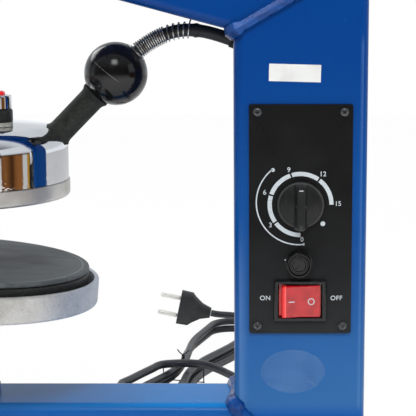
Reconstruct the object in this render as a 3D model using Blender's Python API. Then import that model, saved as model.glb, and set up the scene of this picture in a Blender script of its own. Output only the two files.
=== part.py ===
# Spot vulcanizing press for tyres: a C-shaped frame of steel tube, a heated head on a screw
# above a heated dish, a control panel on the column, and a mains lead with its plug.
# Metres, +Z up, front towards -Y. The origin lies on the table, midway between the frame's ends.

import math

import bmesh
import bpy
from mathutils import Matrix, Quaternion, Vector

MM = 0.001

# Fits
SEAT = 0.3 * MM
OVERRUN = 5 * MM

# Frame tubes
TUBE_DEPTH = 50 * MM
TUBE_WALL = 3 * MM
TUBE_CORNER = 6 * MM
COLUMN_WIDTH = 80 * MM
BASE_HEIGHT = 80 * MM
ARM_HEIGHT = 65 * MM
ARM_RISE = math.radians(14.8)
ARM_OVERHANG = 38 * MM
BASE_OVERHANG = 50 * MM
THROAT_HEIGHT = 227 * MM
THROAT_REACH = 171 * MM
END_CAP_THICKNESS = 3 * MM
WELD_RADIUS = 3.8 * MM
WELD_CORNER_RADIUS = 5.8 * MM
WELD_CORNER_REACH = 8 * MM
WELD_STOP = 12 * MM

# Feet
FOOT_LENGTH = 220 * MM
FOOT_WIDTH = 40 * MM
FOOT_THICKNESS = 6 * MM
FOOT_HOLE_RADIUS = 4.5 * MM
FOOT_HOLE_INSET = 15 * MM
FOOT_INSET = 24 * MM

# Screw press
NUT_BOSS_RADIUS = 22 * MM
NUT_BOSS_DROP = 14 * MM
NUT_BOSS_STAND = 10 * MM
NUT_RADIUS = 15 * MM
NUT_FLANGE_RADIUS = 19 * MM
NUT_FLANGE_HEIGHT = 6 * MM
NUT_LENGTH = 45 * MM
SPINDLE_RADIUS = 10 * MM
SPINDLE_HUB_RADIUS = 15 * MM
SPINDLE_HUB_HEIGHT = 26 * MM
SPINDLE_CHAMFER = 2 * MM
HUB_CLEARANCE = 6 * MM
COLLAR_RADIUS = 16 * MM
COLLAR_HEIGHT = 10 * MM
LIFT_TRAVEL = 8 * MM
SOCKET_RADIUS = 15.5 * MM
SOCKET_NECK_RADIUS = 13.5 * MM
SOCKET_FLANGE_HEIGHT = 4 * MM
SOCKET_HEIGHT = 14 * MM
BAR_RADIUS = 6 * MM
BAR_LENGTH = 190 * MM
BAR_KNOB_RADIUS = 16 * MM
BAR_KNOB_DEPTH = 20 * MM

# Lower head
PEDESTAL_RADIUS = 18 * MM
PEDESTAL_FLANGE_RADIUS = 22 * MM
PEDESTAL_FLANGE_HEIGHT = 5 * MM
PEDESTAL_NECK_RADIUS = 9 * MM
PEDESTAL_NECK_LENGTH = 16 * MM
PEDESTAL_SHARE = 0.538
SEAT_BALL_RADIUS = 14 * MM
SEAT_CUP_RADIUS = 19 * MM
SEAT_CUP_WRAP = 5 * MM
SEAT_DROP = 18 * MM
WIRE_BORE_RADIUS = 4 * MM
LEAN_ANGLE = math.radians(5.2)
LEAN_HEADING = math.radians(12.5)
DISH_RADIUS = 82.8 * MM
DISH_HEIGHT = 16 * MM
DISH_FLOOR = 4 * MM
DISH_RIM = 3.3 * MM
DISH_ROUND = 1.2 * MM
LOWER_PLATE_RADIUS = 76.1 * MM
LOWER_PLATE_HEIGHT = 15.3 * MM
LOWER_GROOVE = 1.2 * MM
PAD_THICKNESS = 3 * MM
PAD_ROUND = 1 * MM
LOWER_ELEMENT_RADIUS = 52 * MM
WIRE_HOLE_RADIUS = 8 * MM

# Upper head
HEAD_DROP = 146 * MM
UPPER_PLATE_RADIUS = 68.8 * MM
UPPER_PLATE_HEIGHT = 10 * MM
UPPER_PLATE_ROUND = 1.8 * MM
UPPER_SPIGOT_HEIGHT = 4 * MM
UPPER_FLOOR = 6 * MM
UPPER_RECESS_RADIUS = 60 * MM
UPPER_ELEMENT_RADIUS = 44 * MM
ELEMENT_TUBE_RADIUS = 3.5 * MM
ELEMENT_OPENING = math.radians(24)
INSULATION_THICKNESS = 4 * MM
THERMOSTAT_RADIUS = 8 * MM
THERMOSTAT_HEIGHT = 16 * MM
THERMOSTAT_FLANGE_RADIUS = 10 * MM
THERMOSTAT_FLANGE_HEIGHT = 2 * MM
THERMOSTAT_REACH = 27 * MM
SPACER_RADIUS = 14 * MM
SPACER_BORE_RADIUS = 4 * MM
DOME_RADIUS = 68.1 * MM
DOME_WALL = 1.5 * MM
DOME_SIDE = 19 * MM
DOME_SHOULDER = 14 * MM
DOME_CROWN = 2.6 * MM
DOME_SHOULDER_SWEEP = 86

# Pilot lamp on the dome
LAMP_PLACE = Vector((28.7 * MM, -18 * MM))
LAMP_RADIUS = 10.5 * MM
LAMP_THREAD_RADIUS = 7.7 * MM
LAMP_THREAD_LENGTH = 12 * MM
LAMP_WASHER_HEIGHT = 1.3 * MM
LAMP_BODY_HEIGHT = 7.2 * MM
LAMP_BEZEL_RADIUS = 10.1 * MM
LAMP_BEZEL_HEIGHT = 8.4 * MM
LAMP_LENS_RADIUS = 5.5 * MM
LAMP_LENS_STAND = 2.6 * MM
LAMP_ROUND = 0.8 * MM

# Handle on the dome's shoulder
HANDLE_LEAN = math.radians(44.5)
STEM_RADIUS = 5.5 * MM
STEM_BORE_RADIUS = 4 * MM
STEM_INNER_END = 4 * MM
STEM_IN_BALL = 28 * MM
SLEEVE_RADIUS = 7.7 * MM
SLEEVE_FLANGE_RADIUS = 9.1 * MM
SLEEVE_FLANGE_HEIGHT = 1.8 * MM
SLEEVE_FLANGE_START = 8.3 * MM
SLEEVE_FLANGE_STEP = 2 * MM
BALL_RADIUS = 19.2 * MM
BALL_REACH = 64.2 * MM
BALL_MOUTH_RADIUS = 9.3 * MM
BALL_EXIT_RADIUS = 7.6 * MM
BALL_LEAD_BORE_RADIUS = 4.5 * MM
EXIT_COLLAR_RADIUS = 5.8 * MM
EXIT_COLLAR_HEIGHT = 0.9 * MM

# Head lead and its spring guard
LEAD_RADIUS = 3.9 * MM
LEAD_CLEARANCE = 0.4 * MM
LEAD_DROP = 5.9 * MM
LEAD_FALL = math.radians(20)
LEAD_RISE = math.radians(38)
LEAD_BALL_PULL_SHARE = 0.486
LEAD_COLUMN_PULL_SHARE = 0.377
LEAD_TAIL = 7 * MM
LEAD_IN_BALL = 6 * MM
GUARD_COIL_RADIUS = 4.75 * MM
GUARD_WIRE_RADIUS = 0.4 * MM
GUARD_CLOSE_PITCH = 1.42 * MM
GUARD_CLOSE_SHARE = 0.285
GUARD_OPEN_PITCH = 3.2 * MM
GUARD_OPEN_SHARE = 0.265
GROMMET_RADIUS = 4.7 * MM
GROMMET_LIP = 2 * MM
GROMMET_DEPTH = 6 * MM

# Control panel
PANEL_WIDTH = 61.6 * MM
PANEL_HEIGHT = 138.8 * MM
PANEL_THICKNESS = 1.5 * MM
PANEL_RISE = 115 * MM
PANEL_CORNER = 1.2 * MM
WINDOW_WIDTH = 44 * MM
WINDOW_HEIGHT = 126 * MM
SCREW_SPACING_X = 51.4 * MM
SCREW_SPACING_Z = 129.4 * MM
SCREW_HEAD_RADIUS = 2.7 * MM
SCREW_HEAD_HEIGHT = 1.6 * MM
SCREW_RADIUS = 1.5 * MM
SCREW_LENGTH = 8 * MM
SCREW_SLOT = 0.7 * MM

# Timer, above the panel's centre
TIMER_RISE = 9.6 * MM
TIMER_SIZE = 42 * MM
TIMER_DEPTH = 28 * MM
TIMER_NECK_RADIUS = 5 * MM
TIMER_SHAFT_RADIUS = 3 * MM
TIMER_SHAFT_LENGTH = 10 * MM
KNOB_RADIUS = 14.2 * MM
KNOB_SKIRT_HEIGHT = 3.6 * MM
KNOB_GRIP_WIDTH = 7.2 * MM
KNOB_GRIP_LENGTH = 29.6 * MM
KNOB_GRIP_HEIGHT = 13 * MM
KNOB_BORE_RADIUS = 3.3 * MM
KNOB_ROUND = 1.2 * MM

# Fuse, below the timer
FUSE_DROP = 25.8 * MM
FUSE_SHIFT = 0.9 * MM
FUSE_HOLDER_RADIUS = 6 * MM
FUSE_HOLDER_LENGTH = 36 * MM
FUSE_FLANGE_RADIUS = 8.2 * MM
FUSE_FLANGE_HEIGHT = 2 * MM
FUSE_BORE_RADIUS = 4.6 * MM
FUSE_CAP_RADIUS = 7.6 * MM
FUSE_CAP_HEIGHT = 7 * MM
FUSE_CAP_FACE_RADIUS = 5.8 * MM
FUSE_CAP_RECESS = 1.2 * MM
FUSE_CAP_PLUG = 7 * MM
FUSE_CAP_RIBS = 18
FUSE_CAP_RIB_DEPTH = 0.4 * MM
FUSE_SLOT_WIDTH = 1.4 * MM
FUSE_LINK_RADIUS = 2.6 * MM
FUSE_LINK_LENGTH = 20 * MM

# Rocker switch, at the panel's foot
SWITCH_DROP = 49 * MM
BEZEL_WIDTH = 32 * MM
BEZEL_HEIGHT = 25.6 * MM
BEZEL_STAND = 2 * MM
SWITCH_BODY_WIDTH = 29.4 * MM
SWITCH_BODY_HEIGHT = 22.6 * MM
SWITCH_BODY_DEPTH = 20 * MM
SWITCH_WALL = 1.6 * MM
ROCKER_WIDTH = 25 * MM
ROCKER_HEIGHT = 19.4 * MM
ROCKER_CLEARANCE = 0.7 * MM
ROCKER_TILT = math.radians(14)
ROCKER_FLUSH = 0.6 * MM
ROCKER_DEPTH = 6 * MM
ROCKER_PIVOT_DEPTH = 3 * MM

# Mains lead: the strain relief, the cord, its hank and the plug
CORD_RADIUS = 3.5 * MM
GLAND_RISE = 70 * MM
GLAND_FLANGE_RADIUS = 9 * MM
GLAND_FLANGE_HEIGHT = 3 * MM
GLAND_ROOT_RADIUS = 6.6 * MM
GLAND_TIP_RADIUS = 4.8 * MM
GLAND_LENGTH = 38 * MM
GLAND_NECK_RADIUS = 6 * MM
HANK_CENTRE = Vector((-84 * MM, 340 * MM))
HANK_HEADING = math.radians(75)
HANK_HALF_RUN = 116 * MM
HANK_FOLD_RADIUS = 27 * MM
HANK_WAIST = 12 * MM
HANK_WAIST_PLACE = -36 * MM
HANK_WAIST_REACH = 104 * MM
HANK_STEP = 8 * MM
HANK_LIFT = 1.5 * MM
HANK_LOOPS = 2.5
HANK_TURN_POINTS = 24
HANK_FIRST_TURN_SHARE = 0.211
HANK_DESCENT_SHARE = 0.25
HANK_REVERSAL_SHARES = (1.0, 1.25)
TIE_RADIUS = 0.7 * MM
TIE_TAIL = 12 * MM
PLUG_PLACE = Vector((-110.8 * MM, 507 * MM, 20.4 * MM))
PLUG_NOSE_UP = math.radians(11.5)
PLUG_SECTIONS = ((0, 18.2, 8.5), (12, 17.7, 9.0), (16, 14.0, 8.8), (24, 8.4, 7.2), (34, 5.2, 5.2))
PLUG_ROUND_SHARE = 0.75
PIN_RADIUS = 2.4 * MM
PIN_LENGTH = 21.5 * MM
PIN_SPACING = 19 * MM
PIN_TIP = 1 * MM

# The lead's route on the table, from the strain relief to the hank, measured from the column's axis
LEAD_OUT_ROUTE = [
    (0.0, 84.0, 69.0), (0.2, 108.0, 59.0), (0.4, 132.0, 38.0), (0.2, 158.0, 16.0),
    (0.0, 186.0, 5.2), (-0.3, 218.0, 3.7), (-0.5, 245.0, 3.7), (-5.8, 266.0, 3.7),
    (-17.8, 280.5, 3.7), (-33.1, 288.3, 4.8), (-47.6, 289.9, 9.2), (-61.0, 289.1, 15.9),
    (-74.0, 288.3, 20.6), (-87.0, 287.5, 22.1), (-100.3, 286.7, 22.1), (-112.0, 283.8, 21.7),
]

# The lead's route from the hank to the plug, measured in the same way
LEAD_PLUG_ROUTE = [
    (-26.3, 435.0, 4.4), (-20.4, 450.5, 3.8), (-15.2, 474.1, 3.9), (-19.9, 489.0, 5.2),
    (-30.5, 500.5, 7.4), (-44.8, 506.5, 9.8), (-58.0, 507.0, 11.2),
]

# Facets
BIG_STEPS = 36
MID_STEPS = 24
SMALL_STEPS = 16
ARC_STEPS = 5

# Places worked out from the sizes
LEAN_AXIS = Vector((-math.sin(LEAN_HEADING), math.cos(LEAN_HEADING), 0))
DISH_REACH = (DISH_RADIUS * (1 - LEAN_AXIS.y ** 2 * (1 - math.cos(LEAN_ANGLE)))
              - (SEAT_DROP + DISH_ROUND) * LEAN_AXIS.y * math.sin(LEAN_ANGLE))
FRAME_LENGTH = DISH_REACH + THROAT_REACH + COLUMN_WIDTH
PRESS_X = DISH_REACH - FRAME_LENGTH / 2
COLUMN_X = FRAME_LENGTH / 2 - COLUMN_WIDTH / 2
INNER_X = COLUMN_X - COLUMN_WIDTH / 2
OUTER_X = COLUMN_X + COLUMN_WIDTH / 2
FRONT_Y = -TUBE_DEPTH / 2
BASE_BOTTOM = FOOT_THICKNESS + SEAT
BASE_TOP = BASE_BOTTOM + BASE_HEIGHT
ARM_CORNER_Z = BASE_TOP + THROAT_HEIGHT
ARM_OUTER_Z = ARM_CORNER_Z + ARM_HEIGHT / math.cos(ARM_RISE) - COLUMN_WIDTH * math.tan(ARM_RISE)
ARM_UNDER_Z = ARM_CORNER_Z + THROAT_REACH * math.tan(ARM_RISE)
ARM_OVER_Z = ARM_UNDER_Z + ARM_HEIGHT / math.cos(ARM_RISE)
UPPER_PLATE_Z = ARM_UNDER_Z - HEAD_DROP
LOWER_STACK = SEAT_DROP + DISH_FLOOR + LOWER_PLATE_HEIGHT + PAD_THICKNESS + 2 * SEAT
WORK_ROOM = UPPER_PLATE_Z - BASE_TOP - SEAT - LOWER_STACK
PEDESTAL_HEIGHT = WORK_ROOM * PEDESTAL_SHARE
PLATE_GAP = WORK_ROOM - PEDESTAL_HEIGHT
LEAN_Z = BASE_TOP + SEAT + PEDESTAL_HEIGHT
DISH_Z = LEAN_Z + SEAT_DROP
LOWER_PLATE_Z = DISH_Z + DISH_FLOOR + SEAT
PAD_Z = LOWER_PLATE_Z + LOWER_PLATE_HEIGHT + SEAT
PAD_TOP = PAD_Z + PAD_THICKNESS
DOME_Z = UPPER_PLATE_Z + UPPER_PLATE_HEIGHT + SEAT
SHOULDER_Z = DOME_Z + DOME_SIDE
SHOULDER_R = DOME_RADIUS - DOME_SHOULDER
CROWN_Z = SHOULDER_Z + DOME_SHOULDER
CROWN_TOP = CROWN_Z + DOME_CROWN
BOSS_BOTTOM = ARM_UNDER_Z - NUT_BOSS_DROP
BOSS_TOP = ARM_OVER_Z + NUT_BOSS_STAND
NUT_BOTTOM = BOSS_BOTTOM - SEAT - NUT_FLANGE_HEIGHT
COLLAR_TOP = NUT_BOTTOM - LIFT_TRAVEL - SEAT
HUB_BOTTOM = BOSS_TOP + PLATE_GAP + HUB_CLEARANCE
PANEL_Z = BASE_TOP + PANEL_RISE
FUSE_X = COLUMN_X - FUSE_SHIFT
PANEL_BACK = FRONT_Y - SEAT
PANEL_FACE = PANEL_BACK - PANEL_THICKNESS
LEAD_TURN = (0, math.pi / 2 + LEAD_FALL, 0)
ROUTE_ORIGIN = Vector((COLUMN_X, 0, 0))


def material(name, colour, roughness, metallic=0.0, alpha=1.0):
    made = bpy.data.materials.new(name)
    made.use_nodes = True
    shader = made.node_tree.nodes["Principled BSDF"]
    shader.inputs["Base Color"].default_value = (*colour, 1)
    shader.inputs["Roughness"].default_value = roughness
    shader.inputs["Metallic"].default_value = metallic
    shader.inputs["Alpha"].default_value = alpha
    return made


def make_materials():
    return {
        "blue_paint": material("blue_paint", (0.008, 0.065, 0.30), 0.28),
        "dark_steel": material("dark_steel", (0.16, 0.16, 0.17), 0.45, 1.0),
        "bright_steel": material("bright_steel", (0.55, 0.55, 0.56), 0.32, 1.0),
        "chrome": material("chrome", (0.78, 0.80, 0.82), 0.08, 1.0),
        "aluminium": material("aluminium", (0.62, 0.62, 0.60), 0.42, 1.0),
        "bronze": material("bronze", (0.50, 0.32, 0.13), 0.38, 1.0),
        "nickel": material("nickel", (0.72, 0.68, 0.60), 0.28, 1.0),
        "black_coating": material("black_coating", (0.020, 0.021, 0.023), 0.55),
        "black_rubber": material("black_rubber", (0.022, 0.023, 0.025), 0.75),
        "black_plastic": material("black_plastic", (0.012, 0.012, 0.014), 0.30),
        "grey_washer": material("grey_washer", (0.33, 0.33, 0.30), 0.55),
        "insulation": material("insulation", (0.72, 0.70, 0.64), 0.90),
        "red_plastic": material("red_plastic", (0.62, 0.015, 0.02), 0.25),
        "glass": material("glass", (0.85, 0.88, 0.88), 0.05, 0.0, 0.35),
        "cord_black": material("cord_black", (0.020, 0.020, 0.022), 0.50),
    }


def clear_scene():
    for thing in list(bpy.data.objects):
        bpy.data.objects.remove(thing, do_unlink=True)


def pivot(name, place):
    empty = bpy.data.objects.new(name, None)
    empty.location = place
    bpy.context.collection.objects.link(empty)
    return empty


def piece(name, shape, surface, carrier=None, place=(0, 0, 0), turn=(0, 0, 0), smooth=30):
    """A named object from a bmesh, at a place given from its carrier's origin."""
    bmesh.ops.remove_doubles(shape, verts=shape.verts, dist=SEAT / 100)
    bmesh.ops.recalc_face_normals(shape, faces=shape.faces)
    mesh = bpy.data.meshes.new(name)
    shape.to_mesh(mesh)
    shape.free()
    mesh.shade_smooth()
    mesh.set_sharp_from_angle(angle=math.radians(smooth))
    made = bpy.data.objects.new(name, mesh)
    mesh.materials.append(surface)
    bpy.context.collection.objects.link(made)
    made.parent = carrier
    made.location = place
    made.rotation_euler = turn
    return made


def cutter(name, shape, surface, carrier=None, place=(0, 0, 0), turn=(0, 0, 0)):
    made = piece(name, shape, surface, carrier, place, turn)
    made.hide_render = True
    made.display_type = "WIRE"
    return made


def boolean(target, tool, operation="DIFFERENCE"):
    step = target.modifiers.new(tool.name, "BOOLEAN")
    step.operation = operation
    step.solver = "EXACT"
    step.object = tool


def arc(centre, radius, start, end, steps=ARC_STEPS):
    """Points of an arc in a turned outline, angles in degrees from the outward direction."""
    turn = (end - start) / steps
    angles = [math.radians(start + turn * step) for step in range(steps + 1)]
    return [(centre[0] + radius * math.cos(a), centre[1] + radius * math.sin(a)) for a in angles]


def turned(outline, steps):
    """A solid of revolution about Z from an outline of radius and height pairs."""
    shape = bmesh.new()
    points = [shape.verts.new((radius, 0, height)) for radius, height in outline]
    ends_on_axis = outline[0][0] == 0 and outline[-1][0] == 0
    pairs = list(zip(points, points[1:]))
    if not ends_on_axis:
        pairs.append((points[-1], points[0]))
    edges = [shape.edges.new(pair) for pair in pairs]
    bmesh.ops.spin(shape, geom=points + edges, cent=(0, 0, 0), axis=(0, 0, 1), angle=math.tau,
                   steps=steps, use_merge=True, use_duplicate=False)
    return shape


def ring(outer, inner, bottom, top, steps=MID_STEPS, bevel=0.0):
    outline = [(inner, bottom), (outer - bevel, bottom), (outer, bottom + bevel),
               (outer, top - bevel), (outer - bevel, top), (inner, top)]
    return turned([p for i, p in enumerate(outline) if i == 0 or p != outline[i - 1]], steps)


def rod(radius, bottom, top, steps=SMALL_STEPS, bevel=0.0):
    outline = [(0, bottom), (radius - bevel, bottom), (radius, bottom + bevel),
               (radius, top - bevel), (radius - bevel, top), (0, top)]
    return turned([p for i, p in enumerate(outline) if i == 0 or p != outline[i - 1]], steps)


def block(size, bevel=0.0, segments=2):
    shape = bmesh.new()
    bmesh.ops.create_cube(shape, size=1, matrix=Matrix.Diagonal((*size, 1)))
    if bevel:
        bmesh.ops.bevel(shape, geom=shape.edges[:], offset=bevel, segments=segments, profile=0.5,
                        affect="EDGES")
    return shape


def rounded_outline(width, height, radius, steps=4):
    """A rectangle with round corners, as points about its centre."""
    points = []
    for quarter, (side, up) in enumerate(((1, 1), (-1, 1), (-1, -1), (1, -1))):
        for step in range(steps + 1):
            angle = math.pi / 2 * (quarter + step / steps)
            points.append((side * (width / 2 - radius) + radius * math.cos(angle),
                           up * (height / 2 - radius) + radius * math.sin(angle)))
    return points


def loft(rings, closed_ends=True):
    """A skin over rings of points that all have the same count."""
    shape = bmesh.new()
    loops = [[shape.verts.new(point) for point in points] for points in rings]
    for first, second in zip(loops, loops[1:]):
        for index in range(len(first)):
            following = (index + 1) % len(first)
            shape.faces.new((first[index], first[following], second[following], second[index]))
    if closed_ends:
        shape.faces.new(loops[0])
        shape.faces.new(loops[-1])
    return shape


def joined_loops(rings):
    """A loft whose last ring meets its first one, such as a tube's outside and inside."""
    return loft(list(rings) + [rings[0]], closed_ends=False)


def plate(outline, thickness):
    """A flat plate in XZ, from an outline of X and Z pairs, with its back at Y 0."""
    return loft([[(x, 0, z) for x, z in outline], [(x, -thickness, z) for x, z in outline]])


def on_plane(point, axis, plane_point, plane_normal):
    """The point moved along the axis until it lies on the plane."""
    return point + axis * ((plane_point - point).dot(plane_normal) / axis.dot(plane_normal))


def mitred_rings(width, radius, start, end, start_normal, end_normal, grow=0.0):
    """The two end rings of a tube in the frame's plane, cut by a plane at each end."""
    axis = (end - start).normalized()
    across = Vector((0, 1, 0)).cross(axis)
    outline = rounded_outline(width + 2 * grow, TUBE_DEPTH + 2 * grow, radius + grow)
    points = [start + across * u + Vector((0, v, 0)) for u, v in outline]
    return [[on_plane(p, axis, start, start_normal) for p in points],
            [on_plane(p, axis, end, end_normal) for p in points]]


def mitred_tube(width, start, end, start_normal, end_normal):
    sections = (width, TUBE_CORNER, start, end, start_normal, end_normal)
    outer = mitred_rings(*sections)
    inner = mitred_rings(*sections, grow=-TUBE_WALL)
    return joined_loops([outer[0], outer[1], inner[1], inner[0]])


def mitred_bar(width, start, end, start_normal, end_normal, grow):
    return loft(mitred_rings(width, TUBE_CORNER, start, end, start_normal, end_normal, grow))


def frame_lines():
    """The tubes' centre lines and the mitre planes where they meet."""
    arm_axis = Vector((-math.cos(ARM_RISE), 0, math.sin(ARM_RISE)))
    base_mitre = Vector((COLUMN_X, 0, BASE_BOTTOM + BASE_HEIGHT / 2))
    arm_mitre = Vector((COLUMN_X, 0, (ARM_CORNER_Z + ARM_OUTER_Z) / 2))
    base_slope = Vector((COLUMN_WIDTH, 0, -BASE_HEIGHT)).normalized()
    arm_slope = Vector((COLUMN_WIDTH, 0, ARM_OUTER_Z - ARM_CORNER_Z)).normalized()
    level = Vector((0, 1, 0))
    return {
        "base_mitre": base_mitre, "base_slope": base_slope, "base_normal": level.cross(base_slope),
        "arm_mitre": arm_mitre, "arm_slope": arm_slope, "arm_normal": level.cross(arm_slope),
        "base_end": Vector((PRESS_X - BASE_OVERHANG, 0, base_mitre.z)),
        "arm_axis": arm_axis,
        "arm_end": arm_mitre + arm_axis * ((COLUMN_X - PRESS_X + ARM_OVERHANG) / math.cos(ARM_RISE)),
    }


def frame_members(lines):
    """Width, start, end and cut planes of the base, the column and the arm."""
    gap = Vector((0, 0, SEAT / 2))
    base_start = lines["base_mitre"] - gap
    return {
        "base": (BASE_HEIGHT, lines["base_end"], base_start, Vector((1, 0, 0)), lines["base_normal"]),
        "column": (COLUMN_WIDTH, lines["base_mitre"] + gap, lines["arm_mitre"] - gap,
                   lines["base_normal"], lines["arm_normal"]),
        "arm": (ARM_HEIGHT, lines["arm_mitre"] + gap, lines["arm_end"], lines["arm_normal"],
                lines["arm_axis"]),
    }


def swept_bead(path, across, sides=8):
    """A round bead along points with their radii, in one plane whose normal is given."""
    points = [point for point, radius in path]
    rings = []
    for index, point in enumerate(points):
        before = points[max(index - 1, 0)]
        after = points[min(index + 1, len(points) - 1)]
        tangent = (after - before).normalized()
        side = across.cross(tangent)
        angles = [math.tau * step / sides for step in range(sides)]
        radius = path[index][1]
        rings.append([point + across * radius * math.cos(a) + side * radius * math.sin(a)
                      for a in angles])
    return loft(rings)


def mitre_path(centre, slope, half_length):
    """Round the front, inner and back edges of a mitre, thicker at the inner corner's ends."""
    outline = rounded_outline(2 * half_length, TUBE_DEPTH, TUBE_CORNER)
    near = [point for point in outline if point[0] < 0]
    middle = len(near) // 2
    stop = half_length - WELD_STOP
    places = [(stop, TUBE_DEPTH / 2)] + near[:middle]
    places += [(-half_length, WELD_CORNER_REACH), (-half_length, -WELD_CORNER_REACH)]
    places += near[middle:] + [(stop, -TUBE_DEPTH / 2)]
    path = []
    for s, y in places:
        outer_corner = s < TUBE_CORNER - half_length and abs(y) > WELD_CORNER_REACH
        radius = WELD_CORNER_RADIUS if outer_corner else WELD_RADIUS
        path.append((centre + slope * s + Vector((0, y, 0)), radius))
    return path


def weld(name, surface, centre, slope, half_length, members):
    normal = Vector((0, 1, 0)).cross(slope)
    bead = swept_bead(mitre_path(centre, slope, half_length), normal)
    made = piece(name, bead, surface)
    for label, member in members:
        grown = cutter(f"{name}_{label}_cut", mitred_bar(*member, grow=SEAT), surface)
        boolean(made, grown)
    return made


def longer(member, at_start, at_end):
    """The same tube, run on past its cuts by a weld's radius."""
    width, start, end, start_normal, end_normal = member
    axis = (end - start).normalized() * 2 * WELD_CORNER_RADIUS
    return (width, start - axis * at_start, end + axis * at_end, start_normal, end_normal)


def make_frame(surfaces):
    paint = surfaces["blue_paint"]
    lines = frame_lines()
    members = frame_members(lines)
    base = piece("base_tube", mitred_tube(*members["base"]), paint)
    column = piece("column_tube", mitred_tube(*members["column"]), paint)
    arm = piece("arm_tube", mitred_tube(*members["arm"]), paint)

    wire_hole = rod(WIRE_HOLE_RADIUS, -OVERRUN, OVERRUN)
    boolean(base, cutter("base_wire_hole", wire_hole, paint, None, (PRESS_X, 0, BASE_TOP)))
    boss_hole = rod(NUT_BOSS_RADIUS + SEAT, BOSS_BOTTOM, BOSS_TOP, MID_STEPS)
    boolean(arm, cutter("arm_boss_hole", boss_hole, paint, None, (PRESS_X, 0, 0)))
    cut_column(column, paint)

    base_half = math.hypot(COLUMN_WIDTH, BASE_HEIGHT) / 2
    arm_half = math.hypot(COLUMN_WIDTH, ARM_OUTER_Z - ARM_CORNER_Z) / 2
    weld("base_weld", paint, lines["base_mitre"], lines["base_slope"], base_half,
         (("base", longer(members["base"], 0, 1)), ("column", longer(members["column"], 1, 0))))
    arm_weld = weld("arm_weld", paint, lines["arm_mitre"], lines["arm_slope"], arm_half,
                    (("column", longer(members["column"], 0, 1)), ("arm", longer(members["arm"], 1, 0))))
    notch = rod(GROMMET_RADIUS + SEAT, -3 * OVERRUN, 2 * OVERRUN)
    boolean(arm_weld, cutter("arm_weld_notch", notch, paint, None, lead_entry(), LEAD_TURN))
    make_end_caps(surfaces, lines)
    make_feet(surfaces)
    make_pedestal(surfaces)


def cut_column(column, paint):
    """The window behind the panel, its screw holes, and the holes for both leads."""
    window = block((WINDOW_WIDTH, 2 * TUBE_CORNER, WINDOW_HEIGHT))
    boolean(column, cutter("column_window", window, paint, None, (COLUMN_X, FRONT_Y, PANEL_Z)))
    for index, (x, z) in enumerate(screw_places()):
        hole = rod(SCREW_RADIUS + SEAT, -OVERRUN, OVERRUN, 12)
        place = (x, FRONT_Y, z)
        boolean(column, cutter(f"column_screw_hole_{index + 1}", hole, paint, None, place,
                               (math.pi / 2, 0, 0)))
    entry = rod(GROMMET_RADIUS + SEAT, -OVERRUN, OVERRUN)
    boolean(column, cutter("column_lead_hole", entry, paint, None, lead_entry(), LEAD_TURN))
    outlet = rod(GLAND_NECK_RADIUS + SEAT, -OVERRUN, OVERRUN)
    place = (COLUMN_X, TUBE_DEPTH / 2, GLAND_RISE)
    boolean(column, cutter("column_mains_hole", outlet, paint, None, place, (math.pi / 2, 0, 0)))


def make_end_caps(surfaces, lines):
    outline = rounded_outline(BASE_HEIGHT, TUBE_DEPTH, TUBE_CORNER)
    half = END_CAP_THICKNESS
    cap = loft([[(-half, y, z) for z, y in outline], [(0, y, z) for z, y in outline]])
    place = lines["base_end"] - Vector((SEAT, 0, 0))
    piece("base_end_cap", cap, surfaces["blue_paint"], None, place)
    outline = rounded_outline(ARM_HEIGHT, TUBE_DEPTH, TUBE_CORNER)
    cap = loft([[(-half, y, z) for z, y in outline], [(0, y, z) for z, y in outline]])
    place = lines["arm_end"] + lines["arm_axis"] * SEAT
    piece("arm_end_cap", cap, surfaces["blue_paint"], None, place, (0, ARM_RISE, 0))


def make_feet(surfaces):
    places = {
        "foot_left": PRESS_X - BASE_OVERHANG + FOOT_INSET,
        "foot_right": OUTER_X - FOOT_INSET,
    }
    reach = FOOT_LENGTH / 2 - FOOT_HOLE_INSET
    for name, x in places.items():
        outline = rounded_outline(FOOT_WIDTH, FOOT_LENGTH, TUBE_CORNER)
        bar = loft([[(u, v, 0) for u, v in outline], [(u, v, FOOT_THICKNESS) for u, v in outline]])
        foot = piece(name, bar, surfaces["blue_paint"], None, (x, 0, 0))
        for side, y in (("front", -reach), ("back", reach)):
            hole = rod(FOOT_HOLE_RADIUS, -OVERRUN, FOOT_THICKNESS + OVERRUN, 16)
            boolean(foot, cutter(f"{name}_{side}_hole", hole, surfaces["blue_paint"], None, (x, y, 0)))


def make_pedestal(surfaces):
    """A post with a ball on top, bored for the element's wires."""
    start = BASE_TOP + SEAT
    shoulder = LEAN_Z - PEDESTAL_NECK_LENGTH
    low = -math.degrees(math.acos(PEDESTAL_NECK_RADIUS / SEAT_BALL_RADIUS))
    high = math.degrees(math.acos(WIRE_BORE_RADIUS / SEAT_BALL_RADIUS))
    outline = [(WIRE_BORE_RADIUS, start), (PEDESTAL_FLANGE_RADIUS, start),
               (PEDESTAL_FLANGE_RADIUS, start + PEDESTAL_FLANGE_HEIGHT),
               (PEDESTAL_RADIUS, start + PEDESTAL_FLANGE_HEIGHT), (PEDESTAL_RADIUS, shoulder),
               (PEDESTAL_NECK_RADIUS, shoulder)]
    outline += arc((0, LEAN_Z), SEAT_BALL_RADIUS, low, high, 2 * ARC_STEPS)
    piece("pedestal", turned(outline, MID_STEPS), surfaces["blue_paint"], None, (PRESS_X, 0, 0))


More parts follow.
